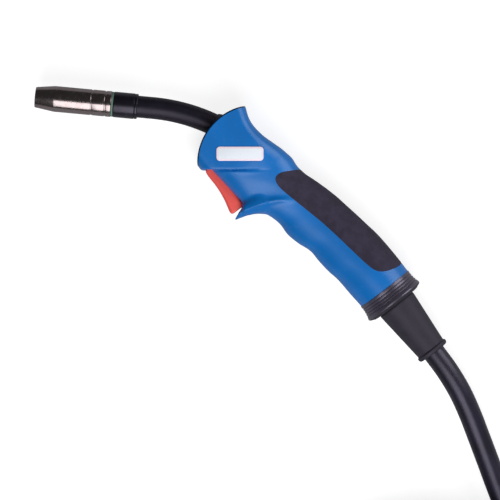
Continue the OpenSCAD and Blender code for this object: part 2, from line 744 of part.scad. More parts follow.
module trigger() {
    place() color(red) difference() {
        union() {
            intersection() {
                translate([0, 0, -trigger_w / 2]) linear_extrude(trigger_w) polygon(TRIGGER);
                trigger_rounding();
            }
            translate([pivot[0], pivot[1], -trigger_w / 2]) cylinder(h = trigger_w, r = pivot_boss_r);
        }
        translate([pivot[0], pivot[1], -20]) cylinder(h = 40, r = trigger_pin_d / 2 + pin_gap);
        // Lightening pocket between the plunger's pad and the spring's
        translate([-131, -50.5, -trigger_w / 2 + 2]) cube([8.5, 12, trigger_w - 4]);
    }
}

// Rounds the trigger's long lower edges along its finger face
module trigger_rounding() {
    w = trigger_w / 2;
    e = trigger_edge_r;
    translate([-153.8, -52.2, 0]) rotate([0, 0, -6.8]) rotate([0, 90, 0])
        translate([0, 0, -6]) linear_extrude(54) {
            translate([-w, e - 1.4]) square([2 * w, 30]);
            translate([-w + e, -1.4]) square([2 * w - 2 * e, 30]);
            for (s = [-1, 1]) translate([s * (w - e), e - 1.4]) circle(e);
        }
}

module trigger_pin() {
    place() color(steel) translate([pivot[0], pivot[1], -frame_outer_z])
        cylinder(h = 2 * frame_outer_z, r = trigger_pin_d / 2);
}

module trigger_spring() {
    place() color(steel) translate([spring_x, spring_y0, 0]) rotate([-90, 0, 0])
        sweep(helix(trigger_spring_d / 2, trigger_wire_d / 2 + 0.1,
            spring_seat_y - spring_y0 - trigger_wire_d / 2 - 0.1, 5, 8), trigger_wire_d / 2, 6);
}

FRAME_SIDE = [[frame_x[0], -43], [-144, -43], [frame_x[1], -39.6], [frame_x[1], frame_top_y],
    [frame_x[0], frame_top_y]];
module switch_frame() {
    place() color("darkslategray") difference() {
        union() {
            for (s = [-1, 1])
                translate([0, 0, s > 0 ? frame_inner_z : -frame_outer_z])
                    linear_extrude(frame_plate) polygon(FRAME_SIDE);
            translate([frame_x[0], frame_bridge_y, -frame_outer_z])
                cube([frame_x[1] - frame_x[0], frame_top_y - frame_bridge_y, 2 * frame_outer_z]);
            // Spring seat
            translate([spring_x, spring_seat_y, 0]) rotate([-90, 0, 0])
                cylinder(h = frame_bridge_y - spring_seat_y + 1, r = 3.4);
            // Cheeks that hold the microswitch
            for (x = [-142, -127], s = [-1, 1])
                translate([x, -38.5, s > 0 ? switch_t / 2 + seat_gap : -frame_outer_z])
                    cube([2.5, 8, frame_outer_z - switch_t / 2 - seat_gap]);
        }
        translate([pivot[0], pivot[1], -20]) cylinder(h = 40, r = trigger_pin_d / 2);
    }
}

module microswitch() {
    place() color("black") difference() {
        translate([-133.2 - switch_len / 2, switch_y, -switch_t / 2])
            cube([switch_len, switch_h, switch_t]);
        translate([plunger_x, switch_y - 1, 0]) rotate([-90, 0, 0])
            cylinder(h = 8, r = plunger_d / 2 + pin_gap);
    }
}

module switch_plunger() {
    place() color("ivory") translate([plunger_x, trigger_top_y + gap, 0]) rotate([-90, 0, 0])
        cylinder(h = plunger_top_y - trigger_top_y - gap, r = plunger_d / 2);
}

module control_leads() {
    place() color(red) sweep(smooth_route(LEADS_ROUTE, 2), lead_r, 8);
}

// ---- Rear ring, ball and boot ----

module inner_cable() {
    place() color(black) sweep(smooth_route(INNER_ROUTE, 1), cable_r - 0.2, 12);
}

module cable_clamp() {
    place() color("dimgray") grip_axis(clamp_x[0], neck_y) difference() {
        tube(clamp_r, cable_r, clamp_x[1] - clamp_x[0]);
        translate([-20, -0.4, -1]) cube([40, 0.8, 20]);
    }
}

module rear_ring() {
    r = ring_od / 2;
    bore = ring_spigot_r + seat_gap;
    place() color(black) difference() {
        grip_axis() rotate_extrude() polygon([
            [bore, 0], [r - 1.6, 0], [r - 1.3, 0.4], [r - 1.2, 2.8], [r - 1.8, 3.1], [r - 1.8, 3.7],
            [r - 0.9, 4], [r - 0.6, 6.6], [r - 1.3, 6.9], [r - 1.3, 7.5], [r - 0.2, 7.8], [r, 8.4],
            [r, 10.4], [r - 0.8, 11.2], [r - 4.4, ring_len], [17.5, ring_len], [17.5, ring_spigot_x + 0.3],
            [bore, ring_spigot_x + 0.3]]);
        translate([ball_x, 0, 0]) sphere(r = ball_d / 2 + socket_gap);
        grip_axis(10.8) cylinder(h = 3, r1 = 17.4, r2 = 19.4);
    }
}

module swivel_ball() {
    neck_r = boot_neck_d / 2 + seat_gap;
    place() color("dimgray") grip_axis() rotate_extrude() difference() {
        translate([0, ball_x]) circle(ball_d / 2);
        translate([-50, -50]) square([50 + cable_r + seat_gap, 100]);
        translate([-50, ball_front_x + 2]) square([50 + neck_r, 50]);
        translate([-50, -50]) square([100, 50 + ball_front_x]);
        translate([-50, ring_len - 0.8]) square([100, 50]);
    }
}

module cable_boot() {
    bore = cable_r + 0.2;
    grip_start = ball_front_x + 2.1;
    place() color([0.2, 0.2, 0.21]) grip_axis() rotate_extrude() polygon([
        [bore, grip_start], [boot_neck_d / 2, grip_start], [boot_neck_d / 2, boot_front_x - 1],
        [boot_front_d / 2 - 0.4, boot_front_x], [boot_front_d / 2, boot_front_x + 1.2],
        [boot_end_d / 2, boot_bead_x], [boot_end_d / 2 + 0.5, boot_bead_x + 0.6],
        [boot_end_d / 2 + 1, boot_bead_x + 2], [boot_end_d / 2 + 1, boot_bead_x + 3.6],
        [boot_end_d / 2 + 0.3, boot_end_x - 0.6], [boot_end_d / 2 - 0.8, boot_end_x],
        [bore, boot_end_x]]);
}

// ---- Cable ----

module cable_run() {
    place() color(black) sweep(run_route, cable_r, 12);
}

module cable_coil() {
    place() color(black) sweep(COIL_ROUTE, cable_r, 6);
}

module cable_tail() {
    place() color(black) sweep(tail_route, cable_r, 12);
}

// The turns at which the cable passes a direction seen from the coil's centre
loop_flat = coil_r * (1 - cos(180 / loop_rings));
function passes(a) = let (first = (coil_start - a) / 360)
    [for (k = [-1:ceil(coil_turns)]) if (first + k >= 0 && first + k <= coil_turns) first + k];

// A flat strap closed round every loop that passes it
module tie_band(a) {
    radii = [for (t = passes(a)) coil_radius(t)];
    side = cable_r * cos(30) + gap;
    near = min(radii) - side - loop_flat;
    far = max(radii) + side;
    high = floor_z + layer_pitch + cable_r + gap;
    difference() {
        translate([near - tie_t, -tie_w / 2, -rest_z])
            cube([far - near + 2 * tie_t, tie_w, high + rest_z + tie_t]);
        translate([near, -tie_w, -rest_z + tie_t])
            cube([far - near, 2 * tie_w, high + rest_z - tie_t]);
    }
}

module coil_ties() {
    place() color("dimgray") for (a = ties)
        translate([coil_centre[0], coil_centre[1], 0]) rotate([0, 0, a]) tie_band(a);
}

// ---- Central connector ----

module plug_boot() {
    place() color([0.2, 0.2, 0.21]) plug_axis(-plug_boot_len) rotate_extrude() polygon([
        [cable_r + 0.2, 0], [cable_r + 2, 0], [cable_r + 3, 1.5], [cable_r + 3.4, plug_boot_len - 4],
        [housing_d / 2 - housing_wall - 0.1, plug_boot_len], [housing_d / 2 - housing_wall - 0.1, plug_boot_len + 6],
        [cable_r + 0.2, plug_boot_len + 6]]);
}

module plug_housing() {
    place() color("dimgray") plug_axis() difference() {
        union() {
            cylinder(h = 4, r1 = housing_d / 2 - 2, r2 = housing_d / 2);
            translate([0, 0, 4]) cylinder(h = nut_back - 4 - gap, r = housing_d / 2);
            cylinder(h = housing_len, r = core_r);
        }
        translate([0, 0, -1]) cylinder(h = housing_len + 2, r = housing_d / 2 - housing_wall);
        plug_screw_holes(seat_gap);
    }
}

module plug_screw_holes(clear) {
    for (s = [-1, 1]) translate([0, 0, plug_screw_z]) rotate([-s * 90, 0, 0])
        translate([0, 0, housing_d / 2 - housing_wall - 4])
            cylinder(h = housing_wall + 4, r = plug_screw_r + clear);
}

module plug_core() {
    place() color("black") plug_axis(nut_back - 6) difference() {
        cylinder(h = plug_face - nut_back + 6, r = housing_d / 2 - housing_wall - seat_gap);
        translate([0, 0, -1]) cylinder(h = 60, r = spigot_d / 2 - 1 + pin_gap);
        for (s = [-1, 1]) translate([s * pilot_offset, 0, 8])
            cylinder(h = 40, r = pilot_d / 2 + pin_gap);
        translate([0, 0, 6 - nut_back]) plug_screw_holes(0);
    }
}

module plug_screws() {
    place() color(steel) plug_axis() intersection() {
        plug_screw_holes(0);
        cylinder(h = housing_len, r = housing_d / 2);
    }
}

module wire_spigot() {
    place() color(brass) plug_axis(16) rotate_extrude() polygon([
        [1.5, 0], [spigot_d / 2 - 1, 0], [spigot_d / 2 - 1, plug_face - 16],
        [spigot_d / 2, plug_face - 16], [spigot_d / 2, plug_face - 16 + spigot_len - 8],
        [spigot_d / 2 - o_ring_d, plug_face - 16 + spigot_len - 8],
        [spigot_d / 2 - o_ring_d, plug_face - 16 + spigot_len - 6],
        [spigot_d / 2, plug_face - 16 + spigot_len - 6],
        [spigot_d / 2, plug_face - 16 + spigot_len - 1.5],
        [spigot_d / 2 - 1.5, plug_face - 16 + spigot_len], [1.5, plug_face - 16 + spigot_len]]);
}

module spigot_o_ring() {
    place() color("black") plug_axis(plug_face + spigot_len - 7)
        rotate_extrude() translate([(spigot_d - o_ring_d) / 2, 0]) circle(o_ring_d / 2 - 0.02);
}

module plug_nut() {
    place() color("dimgray") plug_axis(nut_back) difference() {
        rotate_extrude() polygon([
            [core_r + gap, 0], [nut_d / 2 - 1, 0], [nut_d / 2, 1], [nut_d / 2, nut_len - 1],
            [nut_d / 2 - 1, nut_len], [nut_bore_d / 2, nut_len], [nut_bore_d / 2, 6],
            [core_r + gap, 6]]);
        for (i = [0:nut_grips - 1]) rotate([0, 0, 360 * (i + 0.5) / nut_grips])
            translate([nut_d / 2 + 1.6, 0, 3]) cylinder(h = nut_len, r = 2.6, $fn = 24);
    }
}

module pilot_pin(side) {
    plug_axis(nut_back + 2 + pilot_travel) translate([side * pilot_offset, 0, 0])
        cylinder(h = plug_face + pilot_len - nut_back - 2 - pilot_travel, r = pilot_d / 2);
}

module pilot_pin_left() {
    place() color(brass) pilot_pin(1);
}

module pilot_pin_right() {
    place() color(brass) pilot_pin(-1);
}

handle_shell_left();
handle_shell_right();
grip_left();
grip_right();
handle_screws();
badge_plate();
gas_nozzle();
seal_ring();
contact_tip();
tip_holder();
gas_diffuser();
nozzle_spring();
neck_collar();
neck_tube();
neck_jacket();
neck_grommet();
neck_block();
trigger();
trigger_pin();
trigger_spring();
switch_frame();
microswitch();
switch_plunger();
control_leads();
inner_cable();
cable_clamp();
rear_ring();
swivel_ball();
cable_boot();
cable_run();
cable_coil();
coil_ties();
cable_tail();
plug_boot();
plug_housing();
plug_screws();
plug_core();
wire_spigot();
spigot_o_ring();
plug_nut();
pilot_pin_left();
pilot_pin_right();
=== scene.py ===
"""Smooth moulded forms, finishes and studio for a MIG welding torch with a 3 m lead."""

import math

import bmesh
import bpy
import numpy as np
from mathutils import Matrix, Vector


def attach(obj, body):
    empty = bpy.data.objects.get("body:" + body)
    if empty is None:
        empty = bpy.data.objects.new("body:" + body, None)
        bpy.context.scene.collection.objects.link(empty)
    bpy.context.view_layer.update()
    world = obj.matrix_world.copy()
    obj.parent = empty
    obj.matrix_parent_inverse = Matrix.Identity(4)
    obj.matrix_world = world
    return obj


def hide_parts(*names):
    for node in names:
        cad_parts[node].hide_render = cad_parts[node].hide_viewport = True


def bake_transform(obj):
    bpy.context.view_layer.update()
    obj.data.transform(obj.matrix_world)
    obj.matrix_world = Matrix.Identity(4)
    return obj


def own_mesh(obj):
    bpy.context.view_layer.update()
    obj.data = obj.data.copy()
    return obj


bl_info = {
    "name": "MIG torch dresser",
    "version": (1, 0, 0),
    "blender": (4, 5, 0),
    "location": "View3D > Sidebar > Torch",
    "description": "Smooth moulded forms and finishes for a MIG welding torch and its lead",
    "category": "Object",
}

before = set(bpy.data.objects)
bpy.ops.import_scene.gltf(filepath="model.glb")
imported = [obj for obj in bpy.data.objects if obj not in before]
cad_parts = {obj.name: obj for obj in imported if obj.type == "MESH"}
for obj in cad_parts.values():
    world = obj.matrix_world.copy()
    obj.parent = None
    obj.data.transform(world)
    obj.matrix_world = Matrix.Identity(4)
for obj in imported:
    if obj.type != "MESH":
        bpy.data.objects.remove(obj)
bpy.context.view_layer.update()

# ---- Sizes that repeat the source's, in millimetres in the handle's frame ----
SHIFT = np.array([110.8897, 50.3697, 23.75])
REST_Z = 23.75
NECK_Y = -11.5
BEND = math.radians(47)
BEND_R = 135.0
BEND_CENTRE = np.array([-116.0, NECK_Y - BEND_R, 0.0])
NOSE_START = BEND_CENTRE + BEND_R * np.array([-math.sin(BEND), math.cos(BEND), 0.0])
NOSE_DIR = np.array([-math.cos(BEND), -math.sin(BEND), 0.0])
BACK = np.array([1.0, 0.0, 0.0])
EXIT = math.radians(27.07)
COLLAR = (13.0, 30.0)
SEAL_W = 1.3
NOZZLE_BACK = COLLAR[1] + SEAL_W

# Cable, its coil and the straps round it
CABLE_R = 8.5
BOOT_END_X = 59.0
TIES = (20, 140, 260)
TIE_T, TIE_GAP = 1.2, 0.3
COIL_CENTRE = (243.5, -158.0)
COIL_START, COIL_END = 88.0, 58.0
COIL_TURNS = 4 + (COIL_START - COIL_END) / 360
COIL_R, COIL_PITCH, LAYER_PITCH = 120.5, 17.8, 17.6
COIL_FLOOR = -REST_Z + TIE_T + TIE_GAP + CABLE_R
LOOP_POINTS = 48
RUN_ROUTE = [(76, -0.4, -0.5), (94, -2.4, -2.6), (112, -6.4, -5.8), (130, -11.6, -9.2),
             (150, -17.6, -11.8), (170, -23.8, -13.2), (188, -28.9, -13.7), (205, -32.8, -13.7)]
TAIL_ROUTE = [(342.6, -75.5, 3.6), (356.6, -85.2, 2.6), (368.2, -97.7, 1.1),
              (376.8, -112.4, -0.5), (382.2, -128.6, -1.75)]
TAIL_TURN = (384, -145.5, -2.25)
PLUG_AT = np.array([384.0, -206.0563, -2.25])


def coil_radius(t):
    """How far the coil is from its centre after t turns: in, and out again."""
    return COIL_R - COIL_PITCH * min(t, COIL_TURNS - t)


def coil_point(t):
    """A point of the coil after t turns. It climbs one layer where it turns back."""
    angle = math.radians(COIL_START - 360 * t)
    radius = coil_radius(t)
    climb = min(max((t - COIL_TURNS / 2 + 0.25) / 0.5, 0), 1)
    return np.array([COIL_CENTRE[0] + radius * math.cos(angle),
                     COIL_CENTRE[1] + radius * math.sin(angle), COIL_FLOOR + LAYER_PITCH * climb])


def cable_route():
    """The cable's centreline from the boot to the connector."""
    way_in = unit(coil_point(0.01) - coil_point(0))
    way_out = unit(coil_point(COIL_TURNS) - coil_point(COIL_TURNS - 0.01))
    run_end = coil_point(0) - 2 * CABLE_R * way_in
    tail_start = coil_point(COIL_TURNS) + 2 * CABLE_R * way_out
    steps = round(COIL_TURNS * LOOP_POINTS)
    route = [(BOOT_END_X, 0, 0), *RUN_ROUTE, run_end - 14 * way_in, run_end]
    route += [coil_point(COIL_TURNS * i / steps) for i in range(steps + 1)]
    route += [tail_start, tail_start + 12 * way_out, *TAIL_ROUTE, TAIL_TURN,
              (TAIL_TURN + PLUG_AT) / 2, PLUG_AT]
    return np.array([np.asarray(p, float) for p in route])


# ---- Mesh helpers ----


def place(points):
    """Points of the handle's frame in millimetres, as metres of the shared frame."""
    return (np.asarray(points, float).reshape(-1, 3) + SHIFT) / 1000


def place_one(point):
    """One point of the handle's frame, as a plain tuple in metres of the shared frame."""
    return tuple(place(point)[0])


def unit(v):
    """A vector's direction."""
    return np.asarray(v, float) / np.linalg.norm(v)


def headings(route):
    """The direction at each point of a route."""
    way = np.gradient(route, axis=0)
    return way / np.linalg.norm(way, axis=1)[:, None]


def run_lengths(route):
    """How far along a route each of its points is."""
    return np.concatenate([[0], np.cumsum(np.linalg.norm(np.diff(route, axis=0), axis=1))])


def hermite(a, from_a, b, to_b, t):
    """A cubic curve from a to b that leaves and arrives with the given slopes."""
    return ((2 * t**3 - 3 * t**2 + 1) * a + (t**3 - 2 * t**2 + t) * from_a
            + (3 * t**2 - 2 * t**3) * b + (t**3 - t**2) * to_b)


def rounded(profile, radius, steps=4):
    """A polygon with its corners rounded by up to a radius."""
    points = [np.asarray(p, float) for p in profile]
    out = []
    for i, here in enumerate(points):
        to_a, to_b = points[i - 1] - here, points[(i + 1) % len(points)] - here
        la, lb = np.linalg.norm(to_a), np.linalg.norm(to_b)
        cut = min(radius, 0.45 * la, 0.45 * lb)
        start, end = here + to_a / la * cut, here + to_b / lb * cut
        for k in range(steps + 1):
            t = k / steps
            out.append((1 - t) ** 2 * start + 2 * t * (1 - t) * here + t * t * end)
    return out


def rectangle(wide, tall, radius, steps):
    """A rectangle about the middle, with rounded corners."""
    x, y = wide / 2, tall / 2
    return rounded([(-x, -y), (x, -y), (x, y), (-x, y)], radius, steps)


def grid_faces(rows, columns, wrap_rows=False, wrap_columns=True, first=0):
    """Four-sided faces of a grid of points whose numbers begin at first."""
    faces = []
    for i in range(rows if wrap_rows else rows - 1):
        for k in range(columns if wrap_columns else columns - 1):
            a, b = i * columns + k, i * columns + (k + 1) % columns
            c, d = (i + 1) % rows * columns + (k + 1) % columns, (i + 1) % rows * columns + k
            faces.append((first + a, first + b, first + c, first + d))
    return faces


def tube_faces(rows, sides):
    """Faces of a row of rings, with both ends closed."""
    last = (rows - 1) * sides
    ends = [tuple(range(sides))[::-1], tuple(range(last, last + sides))]
    return grid_faces(rows, sides) + ends


def lathe(profile, origin, axis, sides, corner):
    """A turned ring. The profile is (distance along the axis, radius), going round its section."""
    axis = unit(axis)
    side = unit(np.cross(axis, (0, 0, 1)) if abs(axis[2]) < 0.9 else np.cross(axis, (0, 1, 0)))
    up = np.cross(axis, side)
    section = rounded(profile, corner) if corner else [np.asarray(p, float) for p in profile]
    turn = np.linspace(0, 2 * math.pi, sides, endpoint=False)
    ring = np.outer(np.cos(turn), side) + np.outer(np.sin(turn), up)
    points = np.concatenate([origin + s * axis + r * ring for s, r in section])
    faces = grid_faces(len(section), sides, wrap_rows=True)
    area = sum(section[i - 1][0] * p[1] - p[0] * section[i - 1][1] for i, p in enumerate(section))
    return points, [f[::-1] for f in faces] if area > 0 else faces


def swept(route, radius, sides):
    """A round tube along a route, closed at both ends."""
    route = np.asarray(route, float)
    heading = headings(route)
    side = np.cross(np.array([0, 0, 1.0]) if abs(heading[0][2]) < 0.9 else np.array([1.0, 0, 0]),
                    heading[0])
    turn = np.linspace(0, 2 * math.pi, sides, endpoint=False)
    points = []
    for p, d in zip(route, heading):
        side = unit(side - np.dot(side, d) * d)
        up = np.cross(d, side)
        points.append(p + radius * (np.outer(np.cos(turn), side) + np.outer(np.sin(turn), up)))
    return np.concatenate(points), tube_faces(len(route), sides)


def joined(*parts):
    """Several (points, faces) as one."""
    points, faces, first = [], [], 0
    for p, f in parts:
        points.append(np.asarray(p, float))
        faces += [tuple(i + first for i in face) for face in f]
        first += len(p)
    return np.concatenate(points), faces


# ---- Finishes ----


class Wire:
    """One socket in a material. Arithmetic on it adds Math nodes."""

    def __init__(self, finish, socket):
        self.finish, self.socket = finish, socket

    def _math(self, operation, *values):
        """A Math node on some wires or numbers."""
        return self.finish.node("Math", {"operation": operation}, dict(enumerate(values)))

    def __add__(self, other):
        return self._math("ADD", self, other)

    __radd__ = __add__

    def __sub__(self, other):
        return self._math("SUBTRACT", self, other)

    def __rsub__(self, other):
        return self._math("SUBTRACT", other, self)

    def __mul__(self, other):
        return self._math("MULTIPLY", self, other)

    __rmul__ = __mul__

    def sin(self):
        return self._math("SINE", self)

    def size(self):
        return self._math("ABSOLUTE", self)

    def larger(self, other):
        return self._math("MAXIMUM", self, other)

    def clamp(self):
        return self.finish.node("Clamp", {}, {0: self})

    def ramp(self, low, high):
        """0 at low, 1 at high, smooth between them."""
        return self.finish.node("MapRange", {"interpolation_type": "SMOOTHSTEP"},
                                {0: self, 1: low, 2: high})


class Finish:
    """A material under construction. Points are object coordinates in millimetres."""

    def __init__(self, name):
        self.material = bpy.data.materials.new(name)
        self.material.use_nodes = True
        self.tree = self.material.node_tree
        self.tree.nodes.clear()
        self.point = self.vector("SCALE", self.node("TexCoord", output="Object"), scale=1000.0)

    def node(self, kind, settings=None, values=None, output=0):
        """A node of a type: first its settings, then the values or links of its sockets."""
        made = self.tree.nodes.new("ShaderNode" + kind)
        for key, value in (settings or {}).items():
            setattr(made, key, value)
        for key, value in (values or {}).items():
            if isinstance(value, Wire):
                self.tree.links.new(value.socket, made.inputs[key])
            elif isinstance(value, tuple) and made.inputs[key].type == "RGBA":
                made.inputs[key].default_value = (*value, 1)
            else:
                made.inputs[key].default_value = value
        return Wire(self, made.outputs[output]) if made.outputs else None

    def vector(self, operation, a, b=None, scale=None, output=0):
        values = {key: value for key, value in ((0, a), (1, b), (3, scale)) if value is not None}
        return self.node("VectorMath", {"operation": operation}, values, output)

    def parts(self, vector):
        """The three components of a vector."""
        split = self.node("SeparateXYZ", {}, {0: vector}).socket.node
        return [Wire(self, socket) for socket in split.outputs]

    def noise(self, scale, detail=2.0, roughness=0.5, point=None, stretch=None):
        """Smooth noise from 0 to 1; scale is its features in each millimetre."""
        where = point or self.point
        if stretch:
            where = self.node("Mapping", {}, {0: where, 3: stretch})
        return self.node("TexNoise", {"normalize": True},
                         {"Vector": where, "Scale": scale, "Detail": detail,
                          "Roughness": roughness})

    def cells(self, scale):
        """Distance from the middle of the nearest of many small cells."""
        return self.node("TexVoronoi", {"feature": "F1"}, {"Vector": self.point, "Scale": scale})

    def mix(self, mask, a, b):
        return self.node("Mix", {"data_type": "RGBA"}, {0: mask, 6: a, 7: b}, 2)

    def bump(self, height, depth_mm):
        return self.node("Bump", {}, {"Height": height, "Strength": 1.0,
                                      "Distance": depth_mm / 1000})

    def done(self, **sockets):
        """Ends in a Principled BSDF. Names use _ for a space."""
        named = {key.replace("_", " "): value for key, value in sockets.items()}
        self.node("OutputMaterial", {}, {0: self.node("BsdfPrincipled", {}, named)})
        return self.material


def srgb(red, green, blue):
    """A written 8-bit colour as linear light."""
    return tuple(c / 255 / 12.92 if c <= 10 else ((c / 255 + 0.055) / 1.055) ** 2.4
                 for c in (red, green, blue))


WHITE = (1.0, 1.0, 1.0)
# Tint of the black parts' sheen
VIOLET = (0.84, 0.78, 1.0)


def shade(colour, factor):
    """A darker or lighter colour of the same hue."""
    return tuple(c * factor for c in colour)


def moulded(name, colour, rough, grain, scale, drift, paint_front_shade=False, sheen=WHITE, shine=0.45,
            shaded_flank_at=None):
    """Injection-moulded plastic: eroded grain, slow colour drift and scuffed patches.

    Painted shade on the handle's front edge, and on the rear ring's flank, which turns matt."""
    f = Finish(name)
    slow = f.noise(0.035, 3)
    fine = f.noise(scale, 2, 0.6)
    scuff = f.noise(0.22, 6, 0.7).ramp(0.56, 0.74)
    scratch = f.noise(0.5, 4, 0.6, stretch=(0.25, 4, 1)).ramp(0.66, 0.72)
    tint = f.mix(slow.ramp(0.3, 0.7), shade(colour, 1 - drift), shade(colour, 1 + drift))
    tint = f.mix(scuff * 0.16, tint, tuple(0.75 * c + 0.1 for c in colour))
    roughness = rough + (fine - 0.5) * 0.12 + scuff * 0.1 - scratch * 0.08
    if paint_front_shade:
        # Painted shade: a dark band along the hood's front edge, where its front face turns away
        # from the light
        hood = tuple(HOOD_CENTRE[:2] + SHIFT[:2]) + (0.0,)
        away = f.vector("DISTANCE", f.vector("MULTIPLY", f.point, (1, 1, 0)), hood, output=1)
        ahead = (hood[0] - f.parts(f.point)[0]).ramp(0.0, 4.0)
        front_shade_band = away.ramp(HOOD_FRONT_R - 1.2, HOOD_FRONT_R - 0.8) * ahead
        tint = f.mix(front_shade_band, tint, shade(colour, 0.05))
    if shaded_flank_at is not None:
        # Painted shade: the rear ring's back flank, facing away from the light, is darkened; it is
        # also made matt
        shaded_matt_flank = (f.parts(f.point)[0] - (SHIFT[0] + shaded_flank_at)).ramp(0.0, 0.5)
        tint = f.mix(shaded_matt_flank, tint, shade(colour, 0.12))
        roughness = roughness + shaded_matt_flank * 0.45
    return f.done(Base_Color=tint, Roughness=roughness.clamp(),
                  Normal=f.bump(fine + scratch * 0.4, grain), Specular_IOR_Level=shine,
                  Specular_Tint=sheen)


def rubber(name, colour, pebble, rough, blotch, warm=(0, 0, 0), shine=0.4):
    """Soft rubber: fine pebbles, mottled colour and a powdery bloom."""
    f = Finish(name)
    slow = f.noise(0.12, 5, 0.65)
    speck = f.noise(1.6, 3, 0.6)
    tint = f.mix(slow.ramp(0.35, 0.65), shade(colour, 1 - blotch), shade(colour, 1 + blotch))
    tint = f.mix(speck.ramp(0.58, 0.75) * 0.25, tint,
                 tuple(c * 1.5 + w for c, w in zip(colour, warm)))
    height = f.cells(1.1).ramp(0.1, 0.6) * pebble + f.noise(4.5, 2) * 0.3
    return f.done(Base_Color=tint, Roughness=(rough + (slow - 0.5) * 0.2).clamp(),
                  Normal=f.bump(height, 0.08), Specular_IOR_Level=shine, Specular_Tint=VIOLET)


def metal(name, colour, tint, rough, brushed):
    """Bare or plated metal: tool marks, finger haze and tarnish."""
    f = Finish(name)
    slow = f.noise(0.09, 4, 0.6)
    haze = f.noise(0.4, 5, 0.7).ramp(0.45, 0.75)
    lines = f.noise(5.0, 3, 0.6)
    roughness = rough + haze * 0.12 + (lines - 0.5) * (0.1 + brushed)
    return f.done(Base_Color=f.mix(slow.ramp(0.35, 0.7) * 0.3, colour, tint), Metallic=1.0,
                  Roughness=roughness.clamp(), Normal=f.bump(lines, 0.004 + 0.02 * brushed))


# ---- Handle form ----

# x, lowest y, highest y, half width, squareness of the section
GRIP = [
    (-184, -49, 3.2, 22.4, 3.4), (-172, -48.8, -0.5, 22.4, 3.4), (-165, -48.7, -3.1, 22.4, 3.3),
    (-158, -48.5, -4, 22.3, 3.3), (-148, -48, -2.8, 22, 3.2), (-138, -47.1, 0.2, 21.4, 3),
    (-130, -46.5, 3, 20.8, 2.9), (-122, -46, 4.9, 20, 2.8), (-114, -45.2, 4.4, 19.2, 2.7),
    (-106, -39.8, 5.6, 18.4, 2.6), (-98, -35.2, 8.3, 17.6, 2.5), (-88, -32.5, 11.3, 17.2, 2.4),
    (-78, -32.6, 13.8, 17.2, 2.3), (-68, -30.4, 15.6, 17.4, 2.3), (-58, -26.8, 17.4, 17.9, 2.3),
    (-48, -26.3, 19, 18.6, 2.2), (-38, -25.4, 20.6, 19.4, 2.2), (-28, -23.6, 21.4, 20.3, 2.1),
    (-14, -22.8, 21.9, 21.4, 2), (0, -21.9, 21.9, 21.9, 2)]
HOOD = [
    (-184, -54.5, 4, 24.6, 5.4), (-172, -54.5, 0.3, 24.6, 5.4), (-165, -54.5, -2.3, 24.6, 5.4),
    (-158, -54.5, -3.2, 24.6, 5.2), (-148, -54.5, -2, 24.4, 4.8), (-138, -54, 1, 23.4, 4),
    (-130, -52, 3.4, 21.7, 3.4), (-122, -48, 4, 19.4, 3), (-112, -46, 2, 16.5, 2.7)]
# The crease where the hood steps down to the cheek behind the trigger
HOOD_EDGE = [(-160, -59.6), (-154.2, -52.1), (-126, -15.6), (-110, 5)]
HOOD_CENTRE = np.array([-134.0, -19.2, 0.0])
HOOD_FRONT_R = 44.0
HOOD_WALL = 3.0
SHELL_WALL = 2.8
SPUR = [(-110.9, -56.2, 0.6, 8), (-111.3, -50.5, 2.5, 12), (-110.9, -44.5, 4.3, 16),
        (-108.4, -36.5, 5.2, 18.6)]
# Crest of the guard's rib up the side of the handle: y, x
CREST = [(-60, -113), (-48.6, -112.4), (-40, -110), (-32.4, -107.2), (-24.4, -103.4),
         (-15.7, -97.8), (0, -88)]
SLOT_X = (-154.5, -113.2)
SLOT_HALF = 7.75
NECK_HOLE = (-26.3, 11.3, 10.1)
PLANE_X = -125.0
PARTING = 0.1
GRIP_PAD_DEPTH = 1.4
# Outline of the soft grip in the side view, from the back of the handle round to it again
PAD_EDGE = [(-111, 4), (-114.8, -2.6), (-118.3, -9.2), (-118.9, -12.4), (-117.6, -15.2),
            (-113.6, -16.8), (-108, -16.6), (-100, -14.9), (-85, -11.3), (-70, -7.7),
            (-55, -5.1), (-40, -2.9), (-26, -0.8), (-18.6, 0.9), (-14, 3.6), (-11.2, 8.4),
            (-9.4, 14), (-8.2, 20.9)]


def curve(table, x, column):
    """Smooth curve through the rows of a table, with level ends."""
    table = np.asarray(table, float)
    xs, ys = table[:, 0], table[:, column]
    slopes = np.zeros(len(xs))
    slopes[1:-1] = (ys[2:] - ys[:-2]) / (xs[2:] - xs[:-2])
    x = np.clip(x, xs[0], xs[-1])
    i = np.clip(np.searchsorted(xs, x, "right") - 1, 0, len(xs) - 2)
    width = xs[i + 1] - xs[i]
    t = (x - xs[i]) / width
    return hermite(ys[i], width * slopes[i], ys[i + 1], width * slopes[i + 1], t)


def smooth_min(a, b, reach):
    """The lesser of two distances, blended where they are about the same."""
    blend = np.clip(0.5 + 0.5 * (b - a) / reach, 0, 1)
    return b + (a - b) * blend - reach * blend * (1 - blend)


def smooth_max(a, b, reach):
    """The greater of two distances, blended where they are about the same."""
    return -smooth_min(-a, -b, reach)


def bell(x, width):
    """1 in the middle, falling off smoothly to both sides."""
    return np.exp(-((x / width) ** 2))


def ease(x, low, high):
    """0 up to low, 1 from high, smooth between them."""
    t = np.clip((x - low) / (high - low), 0, 1)
    return t * t * (3 - 2 * t)


def section_distance(table, x, y, z, extra=0.0):
    """About how far a point is outside a lofted body."""
    low, high, half, power = (curve(table, x, c) for c in (1, 2, 3, 4))
    half = half + extra
    tall = (high - low) / 2
    ratio = (np.abs((y - (low + high) / 2) / tall) ** power
             + np.abs(z / half) ** power) ** (1 / power)
    return (ratio - 1) * np.minimum(tall, half)


def nearest(x, y, a, b):
    """The share along a segment of the side view nearest to a point, and how far away it is."""
    ux, uy = b[0] - a[0], b[1] - a[1]
    t = np.clip(((x - a[0]) * ux + (y - a[1]) * uy) / (ux * ux + uy * uy), 0, 1)
    return t, np.hypot(x - a[0] - t * ux, y - a[1] - t * uy)


